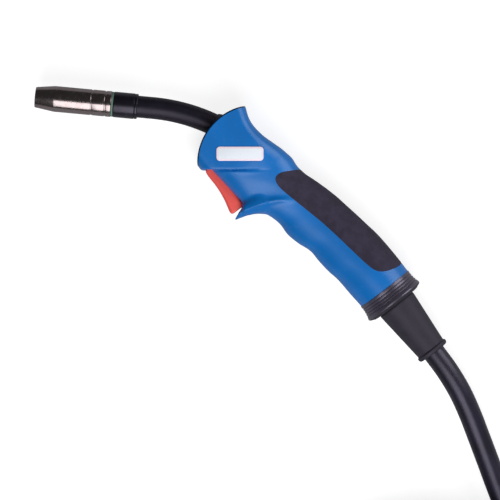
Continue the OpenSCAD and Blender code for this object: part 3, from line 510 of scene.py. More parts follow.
def hood_edge_distance(x, y):
    """How far a point of the side view is behind the hood's crease."""
    best = np.full(np.shape(x), 1e9)
    sign = np.ones(np.shape(x))
    for a, b in zip(HOOD_EDGE, HOOD_EDGE[1:]):
        _, away = nearest(x, y, a, b)
        side = (x - a[0]) * (b[1] - a[1]) - (y - a[1]) * (b[0] - a[0])
        sign = np.where(away < best, np.sign(side), sign)
        best = np.minimum(away, best)
    return best * sign


def crest_x(y):
    """Where the rib's crest is at a height of the side view."""
    return np.interp(y, *np.array(CREST).T)


def spur_distance(x, y, z):
    """How far a point is outside the finger guard."""
    best = np.full(np.shape(x), 1e9)
    behind = x - crest_x(y)
    for a, b in zip(SPUR, SPUR[1:]):
        t, away = nearest(x, y, a, b)
        away = away - (a[2] + t * (b[2] - a[2]))
        wide = a[3] + t * (b[3] - a[3]) - np.where(behind > 0, 0.85 * behind, -0.28 * behind)
        best = np.minimum(best, smooth_max(away, np.abs(z) - wide, 3.0))
    return best


def handle_distance(x, y, z):
    """The handle's outside: grip, cheek, finger guard and hood, blended into each other."""
    crest = x - crest_x(y)
    rib = 1.6 * bell(crest, 2.6) * ease(-y, 10, 22)
    valley = -2.2 * bell(crest + 8, 7.0) * ease(-y, 14, 34)
    # A dark groove under the hood's edge and the soft ledge that follows it
    behind = hood_edge_distance(x, y)
    ledge = (0.55 * bell(behind - 2.4, 1.3) - 0.8 * bell(behind - 0.3, 0.8)) * ease(-x, 124, 140)
    body = section_distance(GRIP, x, y, z, rib + valley + ledge)
    shape = smooth_min(body, spur_distance(x, y, z), 5.0)
    hood = section_distance(HOOD, x, y, z)
    hood = smooth_max(hood, 0.9 * behind, 1.0)
    shape = smooth_min(shape, hood, 0.5)
    return smooth_max(shape, np.abs(z) - REST_Z, 0.8)


def centre_y(x):
    """The middle of the grip's height."""
    return (curve(GRIP, x, 1) + curve(GRIP, x, 2)) / 2


def front_x(y):
    """Where the front arc of the hood is at a height of the side view."""
    return HOOD_CENTRE[0] - np.sqrt(np.maximum(HOOD_FRONT_R**2 - (y - HOOD_CENTRE[1]) ** 2, 1))


def handle_radius(station, angle, share=None):
    """Distance from the handle's middle line to its outside along rays.

    station is x; where share is given, x runs from the front arc (0) to PLANE_X (1)."""
    middle = centre_y(np.maximum(station, -160))
    near, far = np.full(np.shape(angle), 4.0), np.full(np.shape(angle), 48.0)
    for _ in range(40):
        r = (near + far) / 2
        y = middle + r * np.sin(angle)
        x = station if share is None else front_x(y) * (1 - share) + PLANE_X * share
        inside = handle_distance(x, y, r * np.cos(angle)) < 0
        near, far = np.where(inside, r, near), np.where(inside, far, r)
    y = middle + near * np.sin(angle)
    x = station + 0 * angle if share is None else front_x(y) * (1 - share) + PLANE_X * share
    return near, middle, x


def handle_grid():
    """Outer surface of one half as rows of points from the front edge to the rear."""
    shares = np.concatenate([[0, 0.012, 0.03], np.linspace(0.05, 1, 68)[:-1]])
    planes = np.concatenate([np.arange(PLANE_X, -119, 1.0), np.arange(-119, -96, 0.5),
                             np.arange(-96, -1, 1.1), [-0.5, 0]])
    angle = np.radians([-90, *np.linspace(-89.4, 89.4, 150), 90])
    rows = []
    for share in shares:
        r, middle, x = handle_radius(np.full(angle.shape, PLANE_X - 25.0 * (1 - share)), angle,
                                     share)
        rows.append((r, middle, x))
    for station in planes:
        rows.append(handle_radius(np.full(angle.shape, station), angle))
    grid = []
    for r, middle, x in rows:
        r = r.copy()
        r[0] -= 0.3
        r[-1] -= 0.3
        grid.append(np.stack([x, middle + r * np.sin(angle),
                              np.maximum(r * np.cos(angle), PARTING)], 1))
    return np.array(grid), angle


def mixed(ring, hole_y, hole_z, share, forward=0.0):
    """A ring of the front wall, some share of the way from the outside to the neck's hole."""
    y = ring[:, 1] * (1 - share) + hole_y * share
    z = np.maximum(ring[:, 2] * (1 - share) + hole_z * share, PARTING)
    return np.stack([front_x(y) + forward, y, z], 1)


def inset(ring):
    """A ring of the outside, moved in by the wall's thickness."""
    middle = centre_y(np.maximum(ring[:, 0], -160))
    away = np.hypot(ring[:, 1] - middle, ring[:, 2])
    factor = (away - SHELL_WALL) / away
    y = middle + (ring[:, 1] - middle) * factor
    return np.stack([np.maximum(ring[:, 0], front_x(y) + HOOD_WALL), y,
                     np.maximum(ring[:, 2] * factor, PARTING)], 1)


def handle_half(side):
    """One moulded half: outside, front wall round the neck, rear edge and inside."""
    outer, angle = handle_grid()
    count = len(angle)
    hole_y = NECK_HOLE[0] + NECK_HOLE[1] * np.sin(angle)
    hole_z = np.maximum(NECK_HOLE[2] * np.cos(angle), PARTING)
    front = [mixed(outer[0], hole_y, hole_z, s) for s in (1, 0.85, 0.65, 0.4, 0.2, 0.08, 0.035)]
    # The edge between the front and the side is rounded by drawing the first ring in
    edge = mixed(outer[0], hole_y, hole_z, 0.015, 0.12)
    outside = [*front, edge, *outer[1:]]
    keep = range(0, len(outer), 4)
    inner = [inset(outer[i]) for i in keep]
    back_hole = np.stack([front_x(hole_y) + HOOD_WALL, hole_y, hole_z], 1)
    rows = np.array([*outside, *inner[::-1], back_hole])
    points = rows.reshape(-1, 3) * (1, 1, side)
    faces = grid_faces(len(rows), count, wrap_rows=True, wrap_columns=False)
    # Parting faces join the outer and inner edge
    last = len(outside) - 1
    chain = [(0, len(rows) - 1)]
    chain += [(min(6 + i, last), len(rows) - 2 - n) for n, i in enumerate(keep)]
    for column in (0, count - 1):
        for (o1, i1), (o2, i2) in zip(chain, chain[1:]):
            faces.append([row * count + column for row in (*range(o1, o2 + 1), i2, i1)])
        o, i = chain[-1]
        faces.append([row * count + column for row in (*range(o, last + 1), i)])
    return points, faces


def pad_grid(spread):
    """Rows of (x, angle) over a soft grip, its outline moved out by spread."""
    rows = 150
    outline = np.array(PAD_EDGE, float)
    lengths = run_lengths(outline)
    at = np.linspace(0, lengths[-1], rows)
    dense = np.stack([np.interp(at, lengths, outline[:, c]) for c in (0, 1)], 1)
    for _ in range(6):
        dense[1:-1] = 0.25 * dense[:-2] + 0.5 * dense[1:-1] + 0.25 * dense[2:]
    way = headings(dense)
    dense = dense + spread * np.stack([-way[:, 1], way[:, 0]], 1)
    x = dense[:, 0]
    middle = centre_y(x)
    # The angle at which the surface has the outline's height
    low, high = np.full(rows, -math.pi / 2), np.full(rows, math.pi / 2)
    for _ in range(30):
        angle = (low + high) / 2
        r, _, _ = handle_radius(x, angle)
        below = middle + r * np.sin(angle) < dense[:, 1]
        low, high = np.where(below, angle, low), np.where(below, high, angle)
    top_x = np.linspace(x[0], x[-1], rows)
    across = np.concatenate([[0, 0.004, 0.02], np.linspace(0.045, 1, 26)])
    xs = x[:, None] * (1 - across) + top_x[:, None] * across
    angles = low[:, None] * (1 - across) + math.pi / 2 * across
    return xs, angles


def pad_block(spread, deep, proud, soften):
    """A soft grip, or the recess for it, as a closed piece between two depths."""
    xs, angles = pad_grid(spread)
    r, middle, _ = handle_radius(xs, angles)
    rows, columns = xs.shape
    rise = np.full(xs.shape, float(proud))
    if soften:
        # The edge is rolled down over its first points
        edge = np.interp(np.arange(columns), (0, 1, 2, 3), (0.9, 0.3, 0.06, 0))
        from_end = np.minimum(np.arange(rows), np.arange(rows)[::-1])
        end = np.interp(from_end, (0, 1, 2), (0.9, 0.3, 0))
        rise -= np.maximum(edge[None, :], end[:, None])
        rise[:, -1] -= 0.25
    layers = []
    for lift in (rise, -float(deep)):
        far = r + lift
        z = np.maximum(far * np.cos(angles), PARTING if soften else -0.5)
        layers.append(np.stack([xs, middle + far * np.sin(angles), z], 2).reshape(-1, 3))
    size = rows * columns
    faces = grid_faces(rows, columns, wrap_columns=False)
    faces += [f[::-1] for f in grid_faces(rows, columns, wrap_columns=False, first=size)]
    rim = ([(i, 0) for i in range(rows)] + [(rows - 1, k) for k in range(1, columns)]
           + [(i, columns - 1) for i in range(rows - 2, -1, -1)]
           + [(0, k) for k in range(columns - 2, 0, -1)])
    for (i, k), (m, n) in zip(rim, rim[1:] + rim[:1]):
        a, b = i * columns + k, m * columns + n
        faces.append((b, a, a + size, b + size))
    return np.concatenate(layers), faces


# ---- Making and cutting pieces ----


def shown(name, data):
    """A new object in the scene."""
    made = bpy.data.objects.new(name, data)
    bpy.context.scene.collection.objects.link(made)
    return made


def raw(name, points, faces):
    """A closed mesh object from points in the handle's frame, its faces turned outwards."""
    mesh = bpy.data.meshes.new(name)
    mesh.from_pydata([tuple(p) for p in place(points)], [], [tuple(map(int, f)) for f in faces])
    work = bmesh.new()
    work.from_mesh(mesh)
    bmesh.ops.remove_doubles(work, verts=work.verts, dist=1e-6)
    bmesh.ops.recalc_face_normals(work, faces=work.faces)
    work.to_mesh(mesh)
    work.free()
    return shown(name, mesh)


def plain(made):
    """Turns what the modifiers make into the object's own mesh."""
    bpy.context.view_layer.update()
    result = made.evaluated_get(bpy.context.evaluated_depsgraph_get())
    old, made.data = made.data, bpy.data.meshes.new_from_object(result)
    made.modifiers.clear()
    bpy.data.meshes.remove(old)
    return made


def combine(made, operation, *shapes):
    """Cuts shapes out of an object (DIFFERENCE) or adds them to it (UNION), one by one."""
    for shape in shapes:
        tool = raw("tool", *shape)
        step = made.modifiers.new("step", "BOOLEAN")
        step.object, step.operation, step.solver = tool, operation, "EXACT"
        plain(made)
        bpy.data.objects.remove(tool)
    return made


def block(low, high):
    """A box between two corners."""
    (a, b, c), (d, e, f) = low, high
    points = [(x, y, z) for x in (a, d) for y in (b, e) for z in (c, f)]
    return points, [(0, 1, 3, 2), (4, 6, 7, 5), (0, 4, 5, 1), (2, 3, 7, 6), (0, 2, 6, 4),
                    (1, 5, 7, 3)]


def drum(origin, axis, radius, length, sides=32):
    """A round bar from an origin along an axis."""
    return lathe([(0, 0), (0, radius), (length, radius), (length, 0)], np.asarray(origin, float),
                 axis, sides, corner=0)


def paint(made, finish):
    """Gives an object one finish."""
    made.data.materials.clear()
    made.data.materials.append(finish)


def finish_piece(made, finish, body, replaces, sharp=35):
    """Finish, shading, body and replaced nodes. An edge above sharp degrees stays sharp."""
    paint(made, finish)
    made.data.shade_smooth()
    made.data.set_sharp_from_angle(angle=math.radians(sharp))
    if body:
        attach(made, body)
    if replaces:
        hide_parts(*replaces)
    return made


def solid(name, shape, finish, body, replaces, sharp=35):
    """A finished piece straight from its points and faces."""
    return finish_piece(raw(name, *shape), finish, body, replaces, sharp)


class Tree:
    """A Geometry Nodes tree under construction, with named inputs."""

    KINDS = {float: "NodeSocketFloat", int: "NodeSocketInt", bpy.types.Object: "NodeSocketObject"}

    def __init__(self, name, inputs):
        self.tree = bpy.data.node_groups.new(name, "GeometryNodeTree")
        self.inputs = inputs
        self.sockets = {}
        face = self.tree.interface
        face.new_socket("Geometry", in_out="INPUT", socket_type="NodeSocketGeometry")
        for title, value in inputs.items():
            kind = next(k for t, k in self.KINDS.items() if isinstance(value, t))
            self.sockets[title] = face.new_socket(title, in_out="INPUT", socket_type=kind)
        face.new_socket("Geometry", in_out="OUTPUT", socket_type="NodeSocketGeometry")
        self.start = self.tree.nodes.new("NodeGroupInput")
        self.end = self.tree.nodes.new("NodeGroupOutput")

    def input(self, title):
        return self.start.outputs[title]

    def node(self, kind, settings=None, values=None, output=0):
        prefix = "" if kind.startswith(("Function", "Shader")) else "Geometry"
        made = self.tree.nodes.new(f"{prefix}Node{kind}" if prefix else kind)
        for key, value in (settings or {}).items():
            setattr(made, key, value)
        for key, value in (values or {}).items():
            if isinstance(value, bpy.types.NodeSocket):
                self.tree.links.new(value, made.inputs[key])
            else:
                made.inputs[key].default_value = value
        return made.outputs[output]

    def run(self, made, result, finish):
        """Ends the tree in real geometry with its finish, and runs it on an object."""
        real = self.node("RealizeInstances", {}, {0: result})
        painted = self.node("SetMaterial", {}, {0: real, 2: finish})
        self.tree.links.new(painted, self.end.inputs[0])
        step = made.modifiers.new(self.tree.name, "NODES")
        step.node_group = self.tree
        for title, value in self.inputs.items():
            step[self.sockets[title].identifier] = value
        return plain(made)


# ---- Finishes of this torch ----

FINISH = {}


def make_finishes(colours):
    """Every finish of the torch, by its short name."""
    blue, red, grip = tuple(colours.handle), tuple(colours.trigger), tuple(colours.grip)
    FINISH["blue"] = moulded("handle_blue", blue, 0.36, 0.02, 2.8, 0.06, paint_front_shade=True,
                             shine=0.34)
    FINISH["red"] = moulded("trigger_red", red, 0.42, 0.02, 2.8, 0.05)
    FINISH["grip"] = rubber("grip_rubber", grip, 0.9, 0.72, 0.28, warm=(0.012, 0.004, 0.0))
    FINISH["neck"] = rubber("neck_sleeve", srgb(19, 16, 26), 0.12, 0.42, 0.15, shine=0.33)
    FINISH["collar"] = moulded("collar_black", srgb(16, 14, 22), 0.34, 0.015, 3.0, 0.2,
                               sheen=VIOLET)
    FINISH["ring"] = moulded("ring_black", srgb(60, 56, 68), 0.32, 0.006, 2.4, 0.2, sheen=VIOLET,
                             shine=0.8, shaded_flank_at=RING_SHADED_FLANK)
    FINISH["boot"] = rubber("boot_rubber", srgb(44, 41, 50), 0.2, 0.6, 0.12, shine=0.36)
    FINISH["cable"] = cable_finish()
    FINISH["nozzle"] = metal("nozzle_black_nickel", srgb(146, 135, 136), srgb(126, 106, 102),
                             0.2, 0.02)
    FINISH["seal"] = moulded("seal_fibre", srgb(104, 140, 124), 0.6, 0.05, 1.8, 0.2)
    FINISH["brass"] = metal("turned_brass", srgb(205, 170, 98), srgb(150, 112, 60), 0.28, 0.2)
    FINISH["copper"] = metal("drawn_copper", srgb(205, 128, 92), srgb(128, 70, 48), 0.3, 0.2)
    FINISH["steel"] = metal("zinc_steel", srgb(172, 172, 176), srgb(120, 116, 108), 0.32, 0.15)
    FINISH["ceramic"] = moulded("diffuser_ceramic", srgb(226, 220, 206), 0.55, 0.03, 2.2, 0.05)
    FINISH["nylon"] = moulded("nylon_black", srgb(32, 32, 34), 0.5, 0.03, 2.4, 0.15)
    FINISH["ivory"] = moulded("plunger_ivory", srgb(222, 214, 190), 0.4, 0.02, 2.2, 0.05)
    FINISH["housing"] = moulded("connector_black", srgb(38, 38, 41), 0.48, 0.04, 1.6, 0.2)
    FINISH["strap"] = strap_finish()
    FINISH["lead"] = moulded("lead_sleeve", srgb(190, 40, 36), 0.45, 0.01, 3.0, 0.08)
    FINISH["badge"] = badge_finish()


def cable_finish():
    """Extruded rubber sheath: drawn lines along it, a slow tint and a waxy sheen."""
    f = Finish("cable_sheath")
    # Distance along the cable and turn round it, from its UV map
    run, turn, _ = f.parts(f.node("UVMap", {"uv_map": "UVMap"}))
    lines = f.node("CombineXYZ", {}, {0: run * 0.6, 1: (turn * 2 * math.pi).sin() * 9,
                                      2: turn * 26})
    drawn = f.noise(1.0, 4, 0.6, point=lines)
    slow = f.noise(0.05, 3)
    dust = f.noise(0.35, 6, 0.7).ramp(0.6, 0.8)
    tint = f.mix(slow.ramp(0.35, 0.65), srgb(18, 16, 26), srgb(27, 25, 38))
    tint = f.mix(dust * 0.12, tint, srgb(96, 94, 100))
    return f.done(Base_Color=tint, Roughness=(0.38 + (drawn - 0.5) * 0.12 + dust * 0.15).clamp(),
                  Normal=f.bump(drawn + f.noise(3.0, 2) * 0.3, 0.03), Specular_Tint=VIOLET)


def strap_finish():
    """Hook-and-loop tape: crossing threads and a fuzzy, matt face."""
    f = Finish("strap_tape")
    x, y, z = f.parts(f.point)
    warp = (x * 7.0).sin() * (y * 7.0).sin()
    weft = (z * 9.0).sin()
    fuzz = f.noise(2.4, 5, 0.7)
    tint = f.mix(fuzz.ramp(0.35, 0.7), srgb(30, 30, 33), srgb(64, 64, 68))
    return f.done(Base_Color=tint, Roughness=(0.86 + (fuzz - 0.5) * 0.2).clamp(),
                  Normal=f.bump(fuzz + (warp + weft) * 0.25, 0.15))


BADGE_AT = np.array([-147.2, -24.3, REST_Z])
BADGE_TURN = math.radians(52.3)
BADGE_SIZE = (35.0, 10.5, 0.6)


def badge_finish():
    """Blank plate: silvery white field in a pale border."""
    f = Finish("blank_badge")
    here = f.vector("SUBTRACT", f.point, tuple(BADGE_AT + SHIFT))
    turned = f.node("VectorRotate", {"rotation_type": "Z_AXIS"},
                    {"Vector": here, "Angle": -BADGE_TURN})
    across, up, _ = f.parts(turned)
    edge_x = (across.size() - (BADGE_SIZE[0] / 2 - 1.5)).ramp(-0.2, 0.2)
    edge_y = (up.size() - (BADGE_SIZE[1] / 2 - 1.4)).ramp(-0.2, 0.2)
    border = edge_x.larger(edge_y)
    grain = f.noise(1.2, 3, stretch=(1, 6, 1))
    tint = f.mix(border, srgb(240, 246, 255), srgb(250, 232, 244))
    tint = f.mix(f.noise(0.3, 5, 0.7).ramp(0.55, 0.75) * 0.1, tint, srgb(190, 190, 196))
    return f.done(Base_Color=tint, Roughness=(0.3 + (grain - 0.5) * 0.12).clamp(),
                  Coat_Weight=0.3, Normal=f.bump(grain + border * 0.6, 0.05))


# ---- Pieces ----


def make_cable(sizes):
    """The power cable as one cord that takes its straps and the connector with it."""
    route = smooth_path(cable_route())
    run = run_lengths(route)
    sides = 28
    points, faces = swept(route, CABLE_R, sides)
    made = raw("power_cable", points, faces)
    uv = made.data.uv_layers.new(name="UVMap")
    at = {tuple(np.round(p, 7)): i for i, p in enumerate(place(points))}
    for face in made.data.polygons:
        index = [at.get(tuple(np.round(tuple(made.data.vertices[v].co), 7)), 0)
                 for v in face.vertices]
        turns = [i % sides / sides for i in index]
        wraps = max(turns) - min(turns) > 0.5
        for corner, i, turn in zip(face.loop_indices, index, turns):
            uv.data[corner].uv = (run[i // sides], turn + 1 if wraps and turn < 0.5 else turn)
    finish_piece(made, FINISH["cable"], "cable",
                 ("cable_run", "cable_coil", "cable_tail"))
    strap = make_straps(1000 * sizes.strap_width)


def smooth_path(route):
    """More points on a smooth curve through a route."""
    out = []
    last = len(route) - 1
    for i in range(last):
        a, b, c, d = (route[k] for k in (max(i - 1, 0), i, i + 1, min(i + 2, last)))
        before, gap, after = (np.linalg.norm(v) for v in (b - a, c - b, d - c))
        leave = (c - a) * gap / (gap + before + 1e-9)
        arrive = (d - b) * gap / (after + gap + 1e-9)
        count = 4 if gap > 12 else 2
        out += [hermite(b, leave, c, arrive, k / count) for k in range(count)]
    return np.array([*out, route[-1]])


def tie_path(angle):
    """The strap's middle line round the loops that pass one direction of the coil."""
    first = (COIL_START - angle) / 360
    radii = [coil_radius(first + k) for k in range(-1, 6) if 0 <= first + k <= COIL_TURNS]
    side = CABLE_R * math.cos(math.radians(30)) + TIE_GAP
    flat = COIL_R * (1 - math.cos(math.radians(7.5)))
    near, far = min(radii) - side - flat - TIE_T / 2, max(radii) + side + TIE_T / 2
    low, high = -REST_Z + TIE_T / 2, COIL_FLOOR + LAYER_PITCH + CABLE_R + TIE_GAP + TIE_T / 2
    turn = math.radians(angle)
    return np.array([(COIL_CENTRE[0] + r * math.cos(turn), COIL_CENTRE[1] + r * math.sin(turn), z)
                     for r, z in rounded([(near, low), (far, low), (far, high), (near, high)],
                                         7.0, 6)])


def make_straps(width):
    """Three straps round the coil."""
    parts = []
    for angle in TIES:
        path = tie_path(angle)
        across = np.array([-math.sin(math.radians(angle)), math.cos(math.radians(angle)), 0])
        way = np.roll(path, -1, axis=0) - np.roll(path, 1, axis=0)
        out = np.cross(way / np.linalg.norm(way, axis=1)[:, None], across)
        section = rectangle(width, TIE_T, 0.4, 2)
        rows = [p + a * across + b * o for p, o in zip(path, out) for a, b in section]
        parts.append((np.array(rows), grid_faces(len(path), len(section), wrap_rows=True)))
    return solid("coil_straps", joined(*parts), FINISH["strap"], "cable",
                 ("coil_ties",))


SCREWS = ((-163, -38, -18), (-124, 0.6, -9), (-84, -26, -8.5), (-26, -18.6, -9))


def make_handle():
    """Both halves with their slot, recesses and screw holes, and the soft grips in them."""
    slot = block((SLOT_X[0], -64, -SLOT_HALF), (SLOT_X[1], -39.5, SLOT_HALF))
    for side, name in ((1, "left"), (-1, "right")):
        points, faces = pad_block(0.55, GRIP_PAD_DEPTH + 0.1, 5, False)
        tools = [slot, (points * (1, 1, side), faces)]
        if side < 0:
            tools += [drum((x, y, -40), (0, 0, 1), 3.1, 40 + z) for x, y, z in SCREWS]
        shell = combine(raw(f"shell_{name}", *handle_half(side)), "DIFFERENCE", *tools)
        finish_piece(shell, FINISH["blue"], "handle", (f"handle_shell_{name}",),
                     30)
        points, faces = pad_block(0.0, GRIP_PAD_DEPTH, 0.05, True)
        solid(f"soft_grip_{name}", (points * (1, 1, side), faces), FINISH["grip"], "handle",
              (f"grip_{name}",), 50)


TRIGGER_LOW = [(-153.9, -51.8), (-152.4, -53.0), (-148, -53.3), (-141, -53.1), (-134, -53.5),
               (-127, -54.6), (-121, -56.2), (-118, -57.0), (-116.4, -57.0), (-115.3, -56.2)]
TRIGGER_HALF = 7.25
TRIGGER_HUB = (-149, -40.5)
HUB_R, PIN_BORE_R = 4.0, 1.56


def make_trigger():
    """The finger lever with its hub, pin bore and switch pocket."""
    xs = np.concatenate([[-153.9, -153.7, -153.2], np.linspace(-152.4, -117, 60),
                         [-116.3, -115.8, -115.45, -115.3]])
    low = np.interp(xs, *np.array(TRIGGER_LOW).T)
    for _ in range(3):
        low[1:-1] = (low[:-2] + 2 * low[1:-1] + low[2:]) / 4
    ends = np.minimum(xs - xs[0], xs[-1] - xs)
    shrink = 1.3 * (1 - np.sqrt(np.clip(1 - (1 - np.clip(ends / 1.3, 0, 1)) ** 2, 0, 1)))
    sides = 64
    turn = np.linspace(0, 2 * math.pi, sides, endpoint=False)
    s, c = np.sin(turn), np.cos(turn)
    rows = []
    for x, bottom, less in zip(xs, low, shrink):
        top = -43.4 if x < -146 else -43.4 - 1.6 * (x + 146) / 31
        bottom, top = bottom + less, top - 0.4 * less
        tall, half = (top - bottom) / 2, TRIGGER_HALF - 0.5 * less
        y = (top + bottom) / 2 + tall * np.sign(s) * np.abs(s) ** 0.45
        z = half * np.sign(c) * np.abs(c) ** 0.42
        # The finger face is slightly dished along its middle
        dish = 0.35 * np.clip(-s, 0, 1) * bell(z, 4.0)
        rows.append(np.stack([np.full(sides, x), y + dish, z], 1))
    made = raw("trigger_lever", np.concatenate(rows), tube_faces(len(rows), sides))
    combine(made, "UNION", drum((*TRIGGER_HUB, -TRIGGER_HALF), (0, 0, 1), HUB_R,
                                2 * TRIGGER_HALF, 48))
    combine(made, "DIFFERENCE", drum((*TRIGGER_HUB, -10), (0, 0, 1), PIN_BORE_R, 20, 40),
            block((-131, -50.5, -5.2), (-122.5, -38, 5.2)))
    finish_piece(made, FINISH["red"], "trigger", ("trigger",), 40)


def make_badge():
    """The blank plate with softened edges."""
    long, tall, thick = BADGE_SIZE
    outline = rectangle(long, tall, 3.0, 10)
    # How far each layer's edge is drawn in, and its height
    layers = [(0.0, 0.0), (0.0, thick - 0.2), (0.08, thick - 0.06), (0.25, thick)]
    cos, sin = math.cos(BADGE_TURN), math.sin(BADGE_TURN)
    rows = []
    for less, height in layers:
        for p in outline:
            x, y = (1 - less * 2 / long) * p[0], (1 - less * 2 / tall) * p[1]
            rows.append(BADGE_AT + (x * cos - y * sin, x * sin + y * cos, height))
    solid("blank_badge", (np.array(rows), tube_faces(len(layers), len(outline))),
          FINISH["badge"], "handle", ("badge_plate",), 25)


def on_bend(angles):
    """Points of the bend's middle line, by their angle in radians."""
    return BEND_CENTRE + BEND_R * np.stack([-np.sin(angles), np.cos(angles), 0 * angles], -1)


def neck_line(front, back):
    """The neck's middle line, from a distance in front of its bend to an x in the handle."""
    nose = [NOSE_START + s * NOSE_DIR for s in np.linspace(front, 0, 8)[:-1]]
    tail = [(x, NECK_Y, 0) for x in np.linspace(BEND_CENTRE[0], back, 6)[1:]]
    return np.array([*nose, *on_bend(np.linspace(BEND, 0, 70)), *tail])


def make_neck():
    """The sleeve of the bent neck, the collar and seal at its nose and the gland at the hood."""
    line = neck_line(COLLAR[0] + 0.4, -108)
    solid("neck_sleeve", swept(line, 8.25, 64), FINISH["neck"], "handle",
          ("neck_jacket",))
    collar = [(0.5, 5.6), (0.5, 8.3), (-1.3, 8.3), (-1.3, 9.1), (-0.9, 9.45), (0.5, 9.5),
              (0.7, 9.2), (1.0, 9.2), (1.2, 9.6), (16.4, 9.6), (17, 9.3), (17, 5.6)]
    collar = [(s + COLLAR[0], r) for s, r in collar]
    solid("insulating_collar", lathe(collar, NOSE_START, NOSE_DIR, 112, 0.3), FINISH["collar"],
          "handle", ("neck_collar",), 30)
    seal = [(s + COLLAR[1], r) for s, r in ((0.03, 5.7), (0.03, 9.35), (1.27, 9.35), (1.27, 5.7))]
    solid("seal_washer", lathe(seal, NOSE_START, NOSE_DIR, 96, 0.3), FINISH["seal"], "handle",
          ("seal_ring",))
    way = np.array([-math.cos(EXIT), -math.sin(EXIT), 0])
    gland = [(-6.4, 8.4), (-6.4, 9.7), (-2.4, 9.7), (-1.8, 9.3), (-0.4, 9.1), (0.1, 8.4)]
    solid("neck_gland", lathe(gland, on_bend(np.float64(EXIT)), way, 96, 0.3), FINISH["boot"],
          "handle", ("neck_grommet",))


NOZZLE_GROOVES = (4.1, 14.3)


def make_nozzle():
    """The gas nozzle: two grooves, then a taper to its open mouth."""
    profile = [(0.05, 8.35), (0.05, 9.35), (0.45, 9.7)]
    for s in NOZZLE_GROOVES:
        profile += [(s, 9.7), (s + 0.12, 9.32), (s + 1.08, 9.32), (s + 1.2, 9.7)]
    profile += [(43, 9.7), (57.0, 7.72), (57.45, 7.4), (57.45, 6.15), (41, 8.3)]
    profile = [(s + NOZZLE_BACK, r) for s, r in profile]
    solid("gas_shroud", lathe(profile, NOSE_START, NOSE_DIR, 144, 0.22), FINISH["nozzle"],
          "nozzle", ("gas_nozzle",), 25)


# Where the rear ring's flank starts: it turns matt and takes painted shade, as it faces away from
# the light
RING_SHADED_FLANK = 10.2
# Fine grooves moulded in the rear ring: place along it, depth of its face below the flange
RING_LINES = ((0.6, 1.45), (2.7, 1.4), (4.8, 1.1), (6.8, 0.7))


def make_rear():
    """The grooved rear ring, and the cable's cone with the bead at its end."""
    r = REST_Z
    ring = [(0.02, 20.35), (0.02, r - 1.8), (-1.6, r - 1.8), (-1.6, r - 1.55), (-1.45, r - 1.4)]
    for x, rise in RING_LINES:
        ring += [(x, r - rise), (x + 0.15, r - rise - 0.5), (x + 0.4, r - rise - 0.5),
                 (x + 0.55, r - rise)]
    ring += [(8.6, r - 0.3), (9.4, r), (10.4, r), (11.2, r - 0.8), (12.6, r - 4.0), (12.75, 19.0),
             (11.0, 17.9), (6.95, 18.95), (6.95, 20.35)]
    solid("ribbed_ring", lathe(ring, np.zeros(3), BACK, 160, 0.12), FINISH["ring"], "handle",
          ("rear_ring",), 25)
    boot = [(-3.8, 8.75), (-3.8, 14.45), (12.9, 14.45), (13.2, 15.0), (14.2, 15.3), (55, 11.6),
            (55.4, 11.9), (55.8, 12.6), (56.6, 12.8), (57.8, 12.6), (58.7, 12.0), (58.95, 11.2),
            (58.95, 8.75)]
    solid("cable_cone", lathe(boot, np.zeros(3), BACK, 128, 0.5), FINISH["boot"], "cable",
          ("cable_boot",), 30)


# The lead's core from the crimp to the ball, and the trigger's two wires
INNER_ROUTE = [(-62, NECK_Y, 0), (-54, NECK_Y, 0), (-45, NECK_Y, 0), (-36, -9.6, 0),
               (-29, -5.8, 0), (-22, -2.2, 0), (-15, 0, 0), (-6, 0, 0)]
LEADS_ROUTE = [(-123.2, -35, 2), (-121.6, -35, 5.2), (-117, -34.4, 6.2), (-111.6, -33, 6.6),
               (-110, -27, 8.6), (-110.4, -19, 10.4), (-110.6, -11, 10.4), (-109, -4, 7.6),
               (-105, -1.2, 3), (-101, -0.8, 0), (-84, -0.8, 0), (-74, -1.6, 0), (-59, -1.6, 0)]
LEAD_R = 1.0


def flowing(route, steps=8):
    """A route with more points, on a curve through the ones given."""
    route = np.asarray(route, float)
    last = len(route) - 1
    out = []
    for i in range(last):
        a, b, c, d = (route[k] for k in (max(i - 1, 0), i, i + 1, min(i + 2, last)))
        out += [hermite(b, (c - a) / 2, c, (d - b) / 2, k / steps) for k in range(steps)]
    return np.array([*out, route[-1]])


def twisted(route, away, pitch, phase):
    """A strand that winds round a route."""
    heading = headings(route)
    side = unit(np.cross(heading[0], (0.3, 0.2, 1)))
    out = []
    for p, d, s in zip(route, heading, run_lengths(route)):
        side = unit(side - np.dot(side, d) * d)
        turn = 2 * math.pi * s / pitch + phase
        out.append(p + away * (math.cos(turn) * side + math.sin(turn) * np.cross(d, side)))
    return np.array(out)


def coil_spring(origin, across, axis, radius, low, high, turns, wire):
    """An open helical spring with ground ends."""
    axis, across = unit(axis), unit(across)
    beside = np.cross(axis, across)
    share = np.linspace(0, 1, 28 * turns + 1)
    turn = 2 * math.pi * turns * share
    line = (origin + np.outer(low + (high - low) * share, axis)
            + radius * (np.outer(np.cos(turn), across) + np.outer(np.sin(turn), beside)))
    return swept(line, wire, 12)


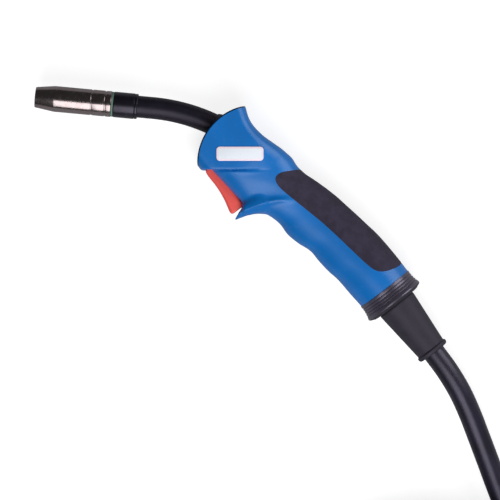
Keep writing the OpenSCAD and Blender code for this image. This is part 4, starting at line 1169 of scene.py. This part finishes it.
def make_inside():
    """The lead's core from the crimp to the ball, the switch's two wires and two springs."""
    core = solid("inner_lead", swept(flowing(INNER_ROUTE), CABLE_R - 0.2, 48), FINISH["boot"],
                 None, ("inner_cable",))
    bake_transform(core)
    line = flowing(LEADS_ROUTE, 12)
    strands = [swept(twisted(line, 0.5 * LEAD_R, 9, phase), 0.48 * LEAD_R, 14)
               for phase in (0, math.pi)]
    solid("switch_wires", joined(*strands), FINISH["lead"], "handle",
          ("control_leads",))
    seat = np.array([-119.0, -34.0, 0.0])
    spring = solid("lever_spring", coil_spring(seat, (1, 0, 0), (0, 1, 0), 2.5, -9.8, -0.5, 5, 0.4),
                   FINISH["steel"], "handle", ("trigger_spring",))
    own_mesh(spring)
    solid("holding_spring", coil_spring(NOSE_START, (0, 0, 1), NOSE_DIR, 7.5, NOZZLE_BACK + 0.7,
                                        NOZZLE_BACK + 7.7, 4, 0.5),
          FINISH["steel"], "handle", ("nozzle_spring",))


PLUG_WAY = np.array([0.0, -1.0, 0.0])
# The flutes of the nut in metres: where their middles are, from the plug's start and its axis
FLUTE_RING_R, FLUTE_LENGTH, FLUTE_MIDDLE = 0.0231, 0.0262, -0.0601


def make_connector(sizes):
    """The connector's ribbed boot, its housing and the fluted hand nut."""
    boot = [(-52, 8.6), (-52, 10.2), (-51, 11.1), (-50, 11.5), (-4, 11.9), (0, 15.2), (6, 15.2),
            (6, 8.6)]
    parts = [lathe(boot, PLUG_AT, PLUG_WAY, 96, 0.6)]
    # Moulded bend-relief rings
    for s in np.arange(-46, -8, 4.2):
        parts.append(lathe([(s, 11.0), (s, 12.0), (s + 0.5, 12.5), (s + 1.6, 12.5),
                            (s + 2.1, 12.0), (s + 2.1, 11.0)], PLUG_AT, PLUG_WAY, 72, 0.3))
    solid("connector_boot", joined(*parts), FINISH["boot"], "cable",
          ("plug_boot",), 30)
    housing = [(0, 15.5), (0, 16.2), (3.6, 18), (5.0, 18), (5.4, 17.6), (6.6, 17.6), (7.0, 18),
               (43.6, 18), (43.6, 17.1), (58, 17.1), (58, 15.4)]
    made = raw("connector_housing", *lathe(housing, PLUG_AT, PLUG_WAY, 128, 0.3))
    combine(made, "DIFFERENCE", *(drum(PLUG_AT + (0, -40.4, z), (0, 0, 1), 1.55, 12)
                                  for z in (10, -22)))
    finish_piece(made, FINISH["housing"], "cable", ("plug_housing",), 30)
    nut = [(44, 17.4), (44, 20.5), (45, 21.5), (71, 21.5), (72, 20.5), (72, 18.5), (71.4, 18.4),
           (50, 18.4), (50, 17.4)]
    made = raw("connector_nut", *lathe(nut, PLUG_AT, PLUG_WAY, 144, 0.3))
    x, y, z = place_one(PLUG_AT)
    tree = Tree("nut_flutes", {"Count": sizes.flute_count, "Ring radius": FLUTE_RING_R,
                               "Flute radius": sizes.flute_radius, "Flute length": FLUTE_LENGTH,
                               "Middle": FLUTE_MIDDLE})
    circle = tree.node("MeshCircle", {}, {"Vertices": tree.input("Count"),
                                          "Radius": tree.input("Ring radius")})
    rod = tree.node("MeshCylinder", {}, {"Vertices": 24, "Radius": tree.input("Flute radius"),
                                         "Depth": tree.input("Flute length")})
    rods = tree.node("InstanceOnPoints", {}, {0: circle, 2: rod})
    real = tree.node("RealizeInstances", {}, {0: rods})
    middle = tree.node("ShaderNodeMath", {}, {0: y, 1: tree.input("Middle")})
    shift = tree.node("ShaderNodeCombineXYZ", {}, {0: x, 1: middle, 2: z})
    stood = tree.node("Transform", {}, {0: real, 1: shift, 2: (math.radians(90), 0.0, 0.0)})
    less = tree.node("MeshBoolean", {"operation": "DIFFERENCE", "solver": "EXACT"},
                     {0: tree.input("Geometry"), 1: stood})
    tree.run(made, less, FINISH["housing"])
    finish_piece(made, FINISH["housing"], "connector_nut", ("plug_nut",), 30)


def make_screws():
    """Cross-recess screw heads, one over each boss, instanced on points."""
    head = [(0, 0), (0, 2.2), (0.3, 2.65), (2.1, 2.8), (2.4, 2.6), (2.4, 0)]
    one = raw("screw_head_source", *lathe(head, -SHIFT, (0, 0, -1), 40, 0.2))
    for x, y in ((1.7, 0.35), (0.35, 1.7)):
        points, faces = block((-x, -y, -3), (x, y, -1.2))
        combine(one, "DIFFERENCE", (np.array(points, float) - SHIFT, faces))
    made = shown("screw_heads", bpy.data.meshes.new("screw_heads"))
    made.data.from_pydata([tuple(p) for p in place(SCREWS)], [], [])
    tree = Tree("screws_on_points", {"Screw": one})
    info = tree.node("ObjectInfo", {"transform_space": "ORIGINAL"},
                     {0: tree.input("Screw"), 1: True}, "Geometry")
    points = tree.node("MeshToPoints", {}, {0: tree.input("Geometry")})
    heads = tree.node("InstanceOnPoints", {}, {0: points, 2: info})
    tree.run(made, heads, FINISH["steel"])
    bpy.data.objects.remove(one)
    finish_piece(made, FINISH["steel"], "handle", (), 30)


def dress_nodes():
    """Finishes for the solids that show as they are."""
    for finish, names in {
        "copper": ("contact_tip", "neck_tube"),
        "brass": ("tip_holder", "neck_block", "wire_spigot", "pilot_pin_left", "pilot_pin_right"),
        "ceramic": ("gas_diffuser",),
        "steel": ("trigger_pin", "handle_screws", "plug_screws"),
        "nylon": ("switch_frame", "microswitch", "cable_clamp", "plug_core", "swivel_ball"),
        "ivory": ("switch_plunger",),
        "boot": ("spigot_o_ring",),
    }.items():
        for name in names:
            paint(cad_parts[name], FINISH[finish])


# ---- Stage ----

VIEW_CENTRE = (-86.1, -62.1, 0.0)
VIEW_WIDTH_MM = 375.0
VIEW_TURN = math.radians(52.3)
FLOOR_HALF, FLOOR_Z = 6.0, -0.0002
# The floor's own glow as the camera sees it, and as polished parts mirror it
FLOOR_GLOW, FLOOR_MIRRORED = 0.74, 0.03


def make_camera(at, distance):
    """A camera that looks down on a point, its lens framing the torch from any distance."""
    lens = bpy.data.cameras.new("camera")
    lens.lens = lens.sensor_width * distance / (VIEW_WIDTH_MM / 1000)
    lens.clip_end = 20
    camera = shown("camera", lens)
    camera.location = at + Vector((0, 0, distance))
    camera.rotation_euler = (0, 0, VIEW_TURN)
    bpy.context.scene.camera = camera


def make_lamp(name, at, tilt, away, size, light):
    """A soft lamp, tilted off the view axis by degrees towards the foot and the right."""
    down, right = (math.tan(math.radians(angle)) for angle in tilt)
    way = Matrix.Rotation(VIEW_TURN, 3, "Z") @ Vector((right, -down, 1)).normalized()
    data = bpy.data.lights.new(name, "AREA")
    data.shape, data.size, data.size_y = "RECTANGLE", *size
    data.energy = light * math.pi * size[0] * size[1]
    made = shown(name, data)
    made.location = at + away * way
    made.rotation_mode = "QUATERNION"
    made.rotation_quaternion = way.to_track_quat("Z", "Y")


def make_floor():
    """A pale floor that takes shadows."""
    f = Finish("pale_floor")
    seen, glossy, through = (f.node("LightPath", output=f"Is {kind} Ray")
                             for kind in ("Camera", "Glossy", "Transmission"))
    strength = seen * FLOOR_GLOW + (glossy + through) * FLOOR_MIRRORED
    lit = f.node("BsdfDiffuse", {}, {"Color": srgb(182, 182, 184)})
    glow = f.node("Emission", {}, {"Color": WHITE, "Strength": strength})
    f.node("OutputMaterial", {}, {0: f.node("AddShader", {}, {0: lit, 1: glow})})
    mesh = bpy.data.meshes.new("floor")
    mesh.from_pydata([(x * FLOOR_HALF, y * FLOOR_HALF, FLOOR_Z)
                      for x, y in ((-1, -1), (1, -1), (1, 1), (-1, 1))], [], [(0, 1, 2, 3)])
    mesh.materials.append(f.material)
    shown("floor", mesh)


def make_stage(stage):
    """Camera, two soft lamps, even surroundings and the floor."""
    scene = bpy.context.scene
    scene.view_settings.view_transform = "Standard"
    at = Vector(place_one(VIEW_CENTRE))
    make_camera(at, stage.camera_height)
    make_lamp("key", at, (40, 4), 1.5, (1.15, 1.6), stage.key)
    make_lamp("fill", at, (-42, 56), 1.8, (0.9, 1.4), stage.fill)
    world = bpy.data.worlds.new("studio")
    world.use_nodes = True
    scene.world = world
    sky = world.node_tree.nodes["Background"]
    sky.inputs["Color"].default_value = (*WHITE, 1)
    sky.inputs["Strength"].default_value = stage.sky
    make_floor()


# ---- Add-on ----


def colour(title, value, about):
    """A property that holds a colour."""
    return bpy.props.FloatVectorProperty(name=title, description=about, subtype="COLOR",
                                         default=value, min=0, max=1)


class TorchColours(bpy.types.PropertyGroup):
    handle: colour("Handle", srgb(6, 108, 188), "Colour of the moulded handle")
    trigger: colour("Trigger", srgb(246, 89, 81), "Colour of the trigger")
    grip: colour("Soft grip", srgb(45, 40, 56), "Colour of the soft grips")


class TorchSizes(bpy.types.PropertyGroup):
    strap_width: bpy.props.FloatProperty(
        name="Strap width", description="Width of the straps that hold the coil",
        default=0.009, min=0.004, max=0.03, unit="LENGTH")
    flute_count: bpy.props.IntProperty(
        name="Flutes", description="Number of finger flutes round the connector's nut",
        default=12, min=4, max=24)
    flute_radius: bpy.props.FloatProperty(
        name="Flute radius", description="Radius of the cutter of the nut's finger flutes",
        default=0.0026, min=0.001, max=0.004, unit="LENGTH")


class TorchStage(bpy.types.PropertyGroup):
    camera_height: bpy.props.FloatProperty(
        name="Camera height", description="Distance of the camera above the torch",
        default=2.3, min=0.5, max=6, unit="LENGTH")
    key: bpy.props.FloatProperty(
        name="Key", description="Brightness of the key lamp's face", default=4.1, min=0, max=10)
    fill: bpy.props.FloatProperty(
        name="Fill", description="Brightness of the fill lamp's face", default=4.6, min=0, max=10)
    sky: bpy.props.FloatProperty(
        name="Sky", description="Brightness of the surroundings", default=0.06, min=0, max=4)


class TORCH_OT_stage(bpy.types.Operator):
    """Camera, floor and soft studio light"""

    bl_idname = "torch.stage"
    bl_label = "Stage"

    def execute(self, context):
        make_stage(context.scene.torch_stage)
        return {"FINISHED"}


class TORCH_OT_finishes(bpy.types.Operator):
    """Materials of the torch, and those of the solids that show as they are"""

    bl_idname = "torch.finishes"
    bl_label = "Finishes"

    def execute(self, context):
        make_finishes(context.scene.torch_colours)
        dress_nodes()
        return {"FINISHED"}


class TORCH_OT_connector(bpy.types.Operator):
    """Connector's boot, housing and fluted hand nut"""

    bl_idname = "torch.connector"
    bl_label = "Connector"

    def execute(self, context):
        make_connector(context.scene.torch_sizes)
        return {"FINISHED"}


class TORCH_OT_cable(bpy.types.Operator):
    """Power cable in its coil, with the straps that hold it"""

    bl_idname = "torch.cable"
    bl_label = "Cable"

    def execute(self, context):
        make_cable(context.scene.torch_sizes)
        return {"FINISHED"}


class TORCH_OT_handle(bpy.types.Operator):
    """Both moulded halves of the handle and their soft grips"""

    bl_idname = "torch.handle"
    bl_label = "Handle"

    def execute(self, context):
        make_handle()
        return {"FINISHED"}


class TORCH_OT_screws(bpy.types.Operator):
    """Screw heads in the right half of the handle"""

    bl_idname = "torch.screws"
    bl_label = "Screws"

    def execute(self, context):
        make_screws()
        return {"FINISHED"}


class TORCH_OT_inside(bpy.types.Operator):
    """Lead's core, switch wires and springs inside the torch"""

    bl_idname = "torch.inside"
    bl_label = "Inside"

    def execute(self, context):
        make_inside()
        return {"FINISHED"}


class TORCH_OT_badge(bpy.types.Operator):
    """Blank badge on the cheek of the handle"""

    bl_idname = "torch.badge"
    bl_label = "Badge"

    def execute(self, context):
        make_badge()
        return {"FINISHED"}


class TORCH_OT_trigger(bpy.types.Operator):
    """Trigger lever with its hub"""

    bl_idname = "torch.trigger"
    bl_label = "Trigger"

    def execute(self, context):
        make_trigger()
        return {"FINISHED"}


class TORCH_OT_neck(bpy.types.Operator):
    """Bent neck's sleeve, collar, seal washer and gland"""

    bl_idname = "torch.neck"
    bl_label = "Neck"

    def execute(self, context):
        make_neck()
        return {"FINISHED"}


class TORCH_OT_nozzle(bpy.types.Operator):
    """Grooved gas nozzle"""

    bl_idname = "torch.nozzle"
    bl_label = "Nozzle"

    def execute(self, context):
        make_nozzle()
        return {"FINISHED"}


class TORCH_OT_rear(bpy.types.Operator):
    """Ribbed ring and cable cone at the back of the handle"""

    bl_idname = "torch.rear"
    bl_label = "Ring and Cone"

    def execute(self, context):
        make_rear()
        return {"FINISHED"}


STEPS = (TORCH_OT_stage, TORCH_OT_finishes, TORCH_OT_connector, TORCH_OT_cable, TORCH_OT_handle,
         TORCH_OT_screws, TORCH_OT_inside, TORCH_OT_badge, TORCH_OT_trigger, TORCH_OT_neck,
         TORCH_OT_nozzle, TORCH_OT_rear)


class TORCH_PT_sidebar(bpy.types.Panel):
    """Steps that dress the torch, in their order"""

    bl_idname = "TORCH_PT_sidebar"
    bl_label = "Torch"
    bl_space_type = "VIEW_3D"
    bl_region_type = "UI"
    bl_category = "Torch"

    def draw(self, context):
        layout = self.layout
        for name in GROUPS:
            group = getattr(context.scene, name)
            for key in group.bl_rna.properties.keys():
                if key not in ("rna_type", "name"):
                    layout.prop(group, key)
        for made in STEPS:
            layout.operator(made.bl_idname)


GROUPS = {"torch_colours": TorchColours, "torch_sizes": TorchSizes, "torch_stage": TorchStage}
CLASSES = (*GROUPS.values(), *STEPS, TORCH_PT_sidebar)


def register():
    for made in CLASSES:
        bpy.utils.register_class(made)
    for name, group in GROUPS.items():
        setattr(bpy.types.Scene, name, bpy.props.PointerProperty(type=group))


def unregister():
    for name in GROUPS:
        delattr(bpy.types.Scene, name)
    for made in reversed(CLASSES):
        bpy.utils.unregister_class(made)


def main():
    register()
    for made in STEPS:
        group, name = made.bl_idname.split(".")
        getattr(getattr(bpy.ops, group), name)()


if __name__ == "__main__":
    main()
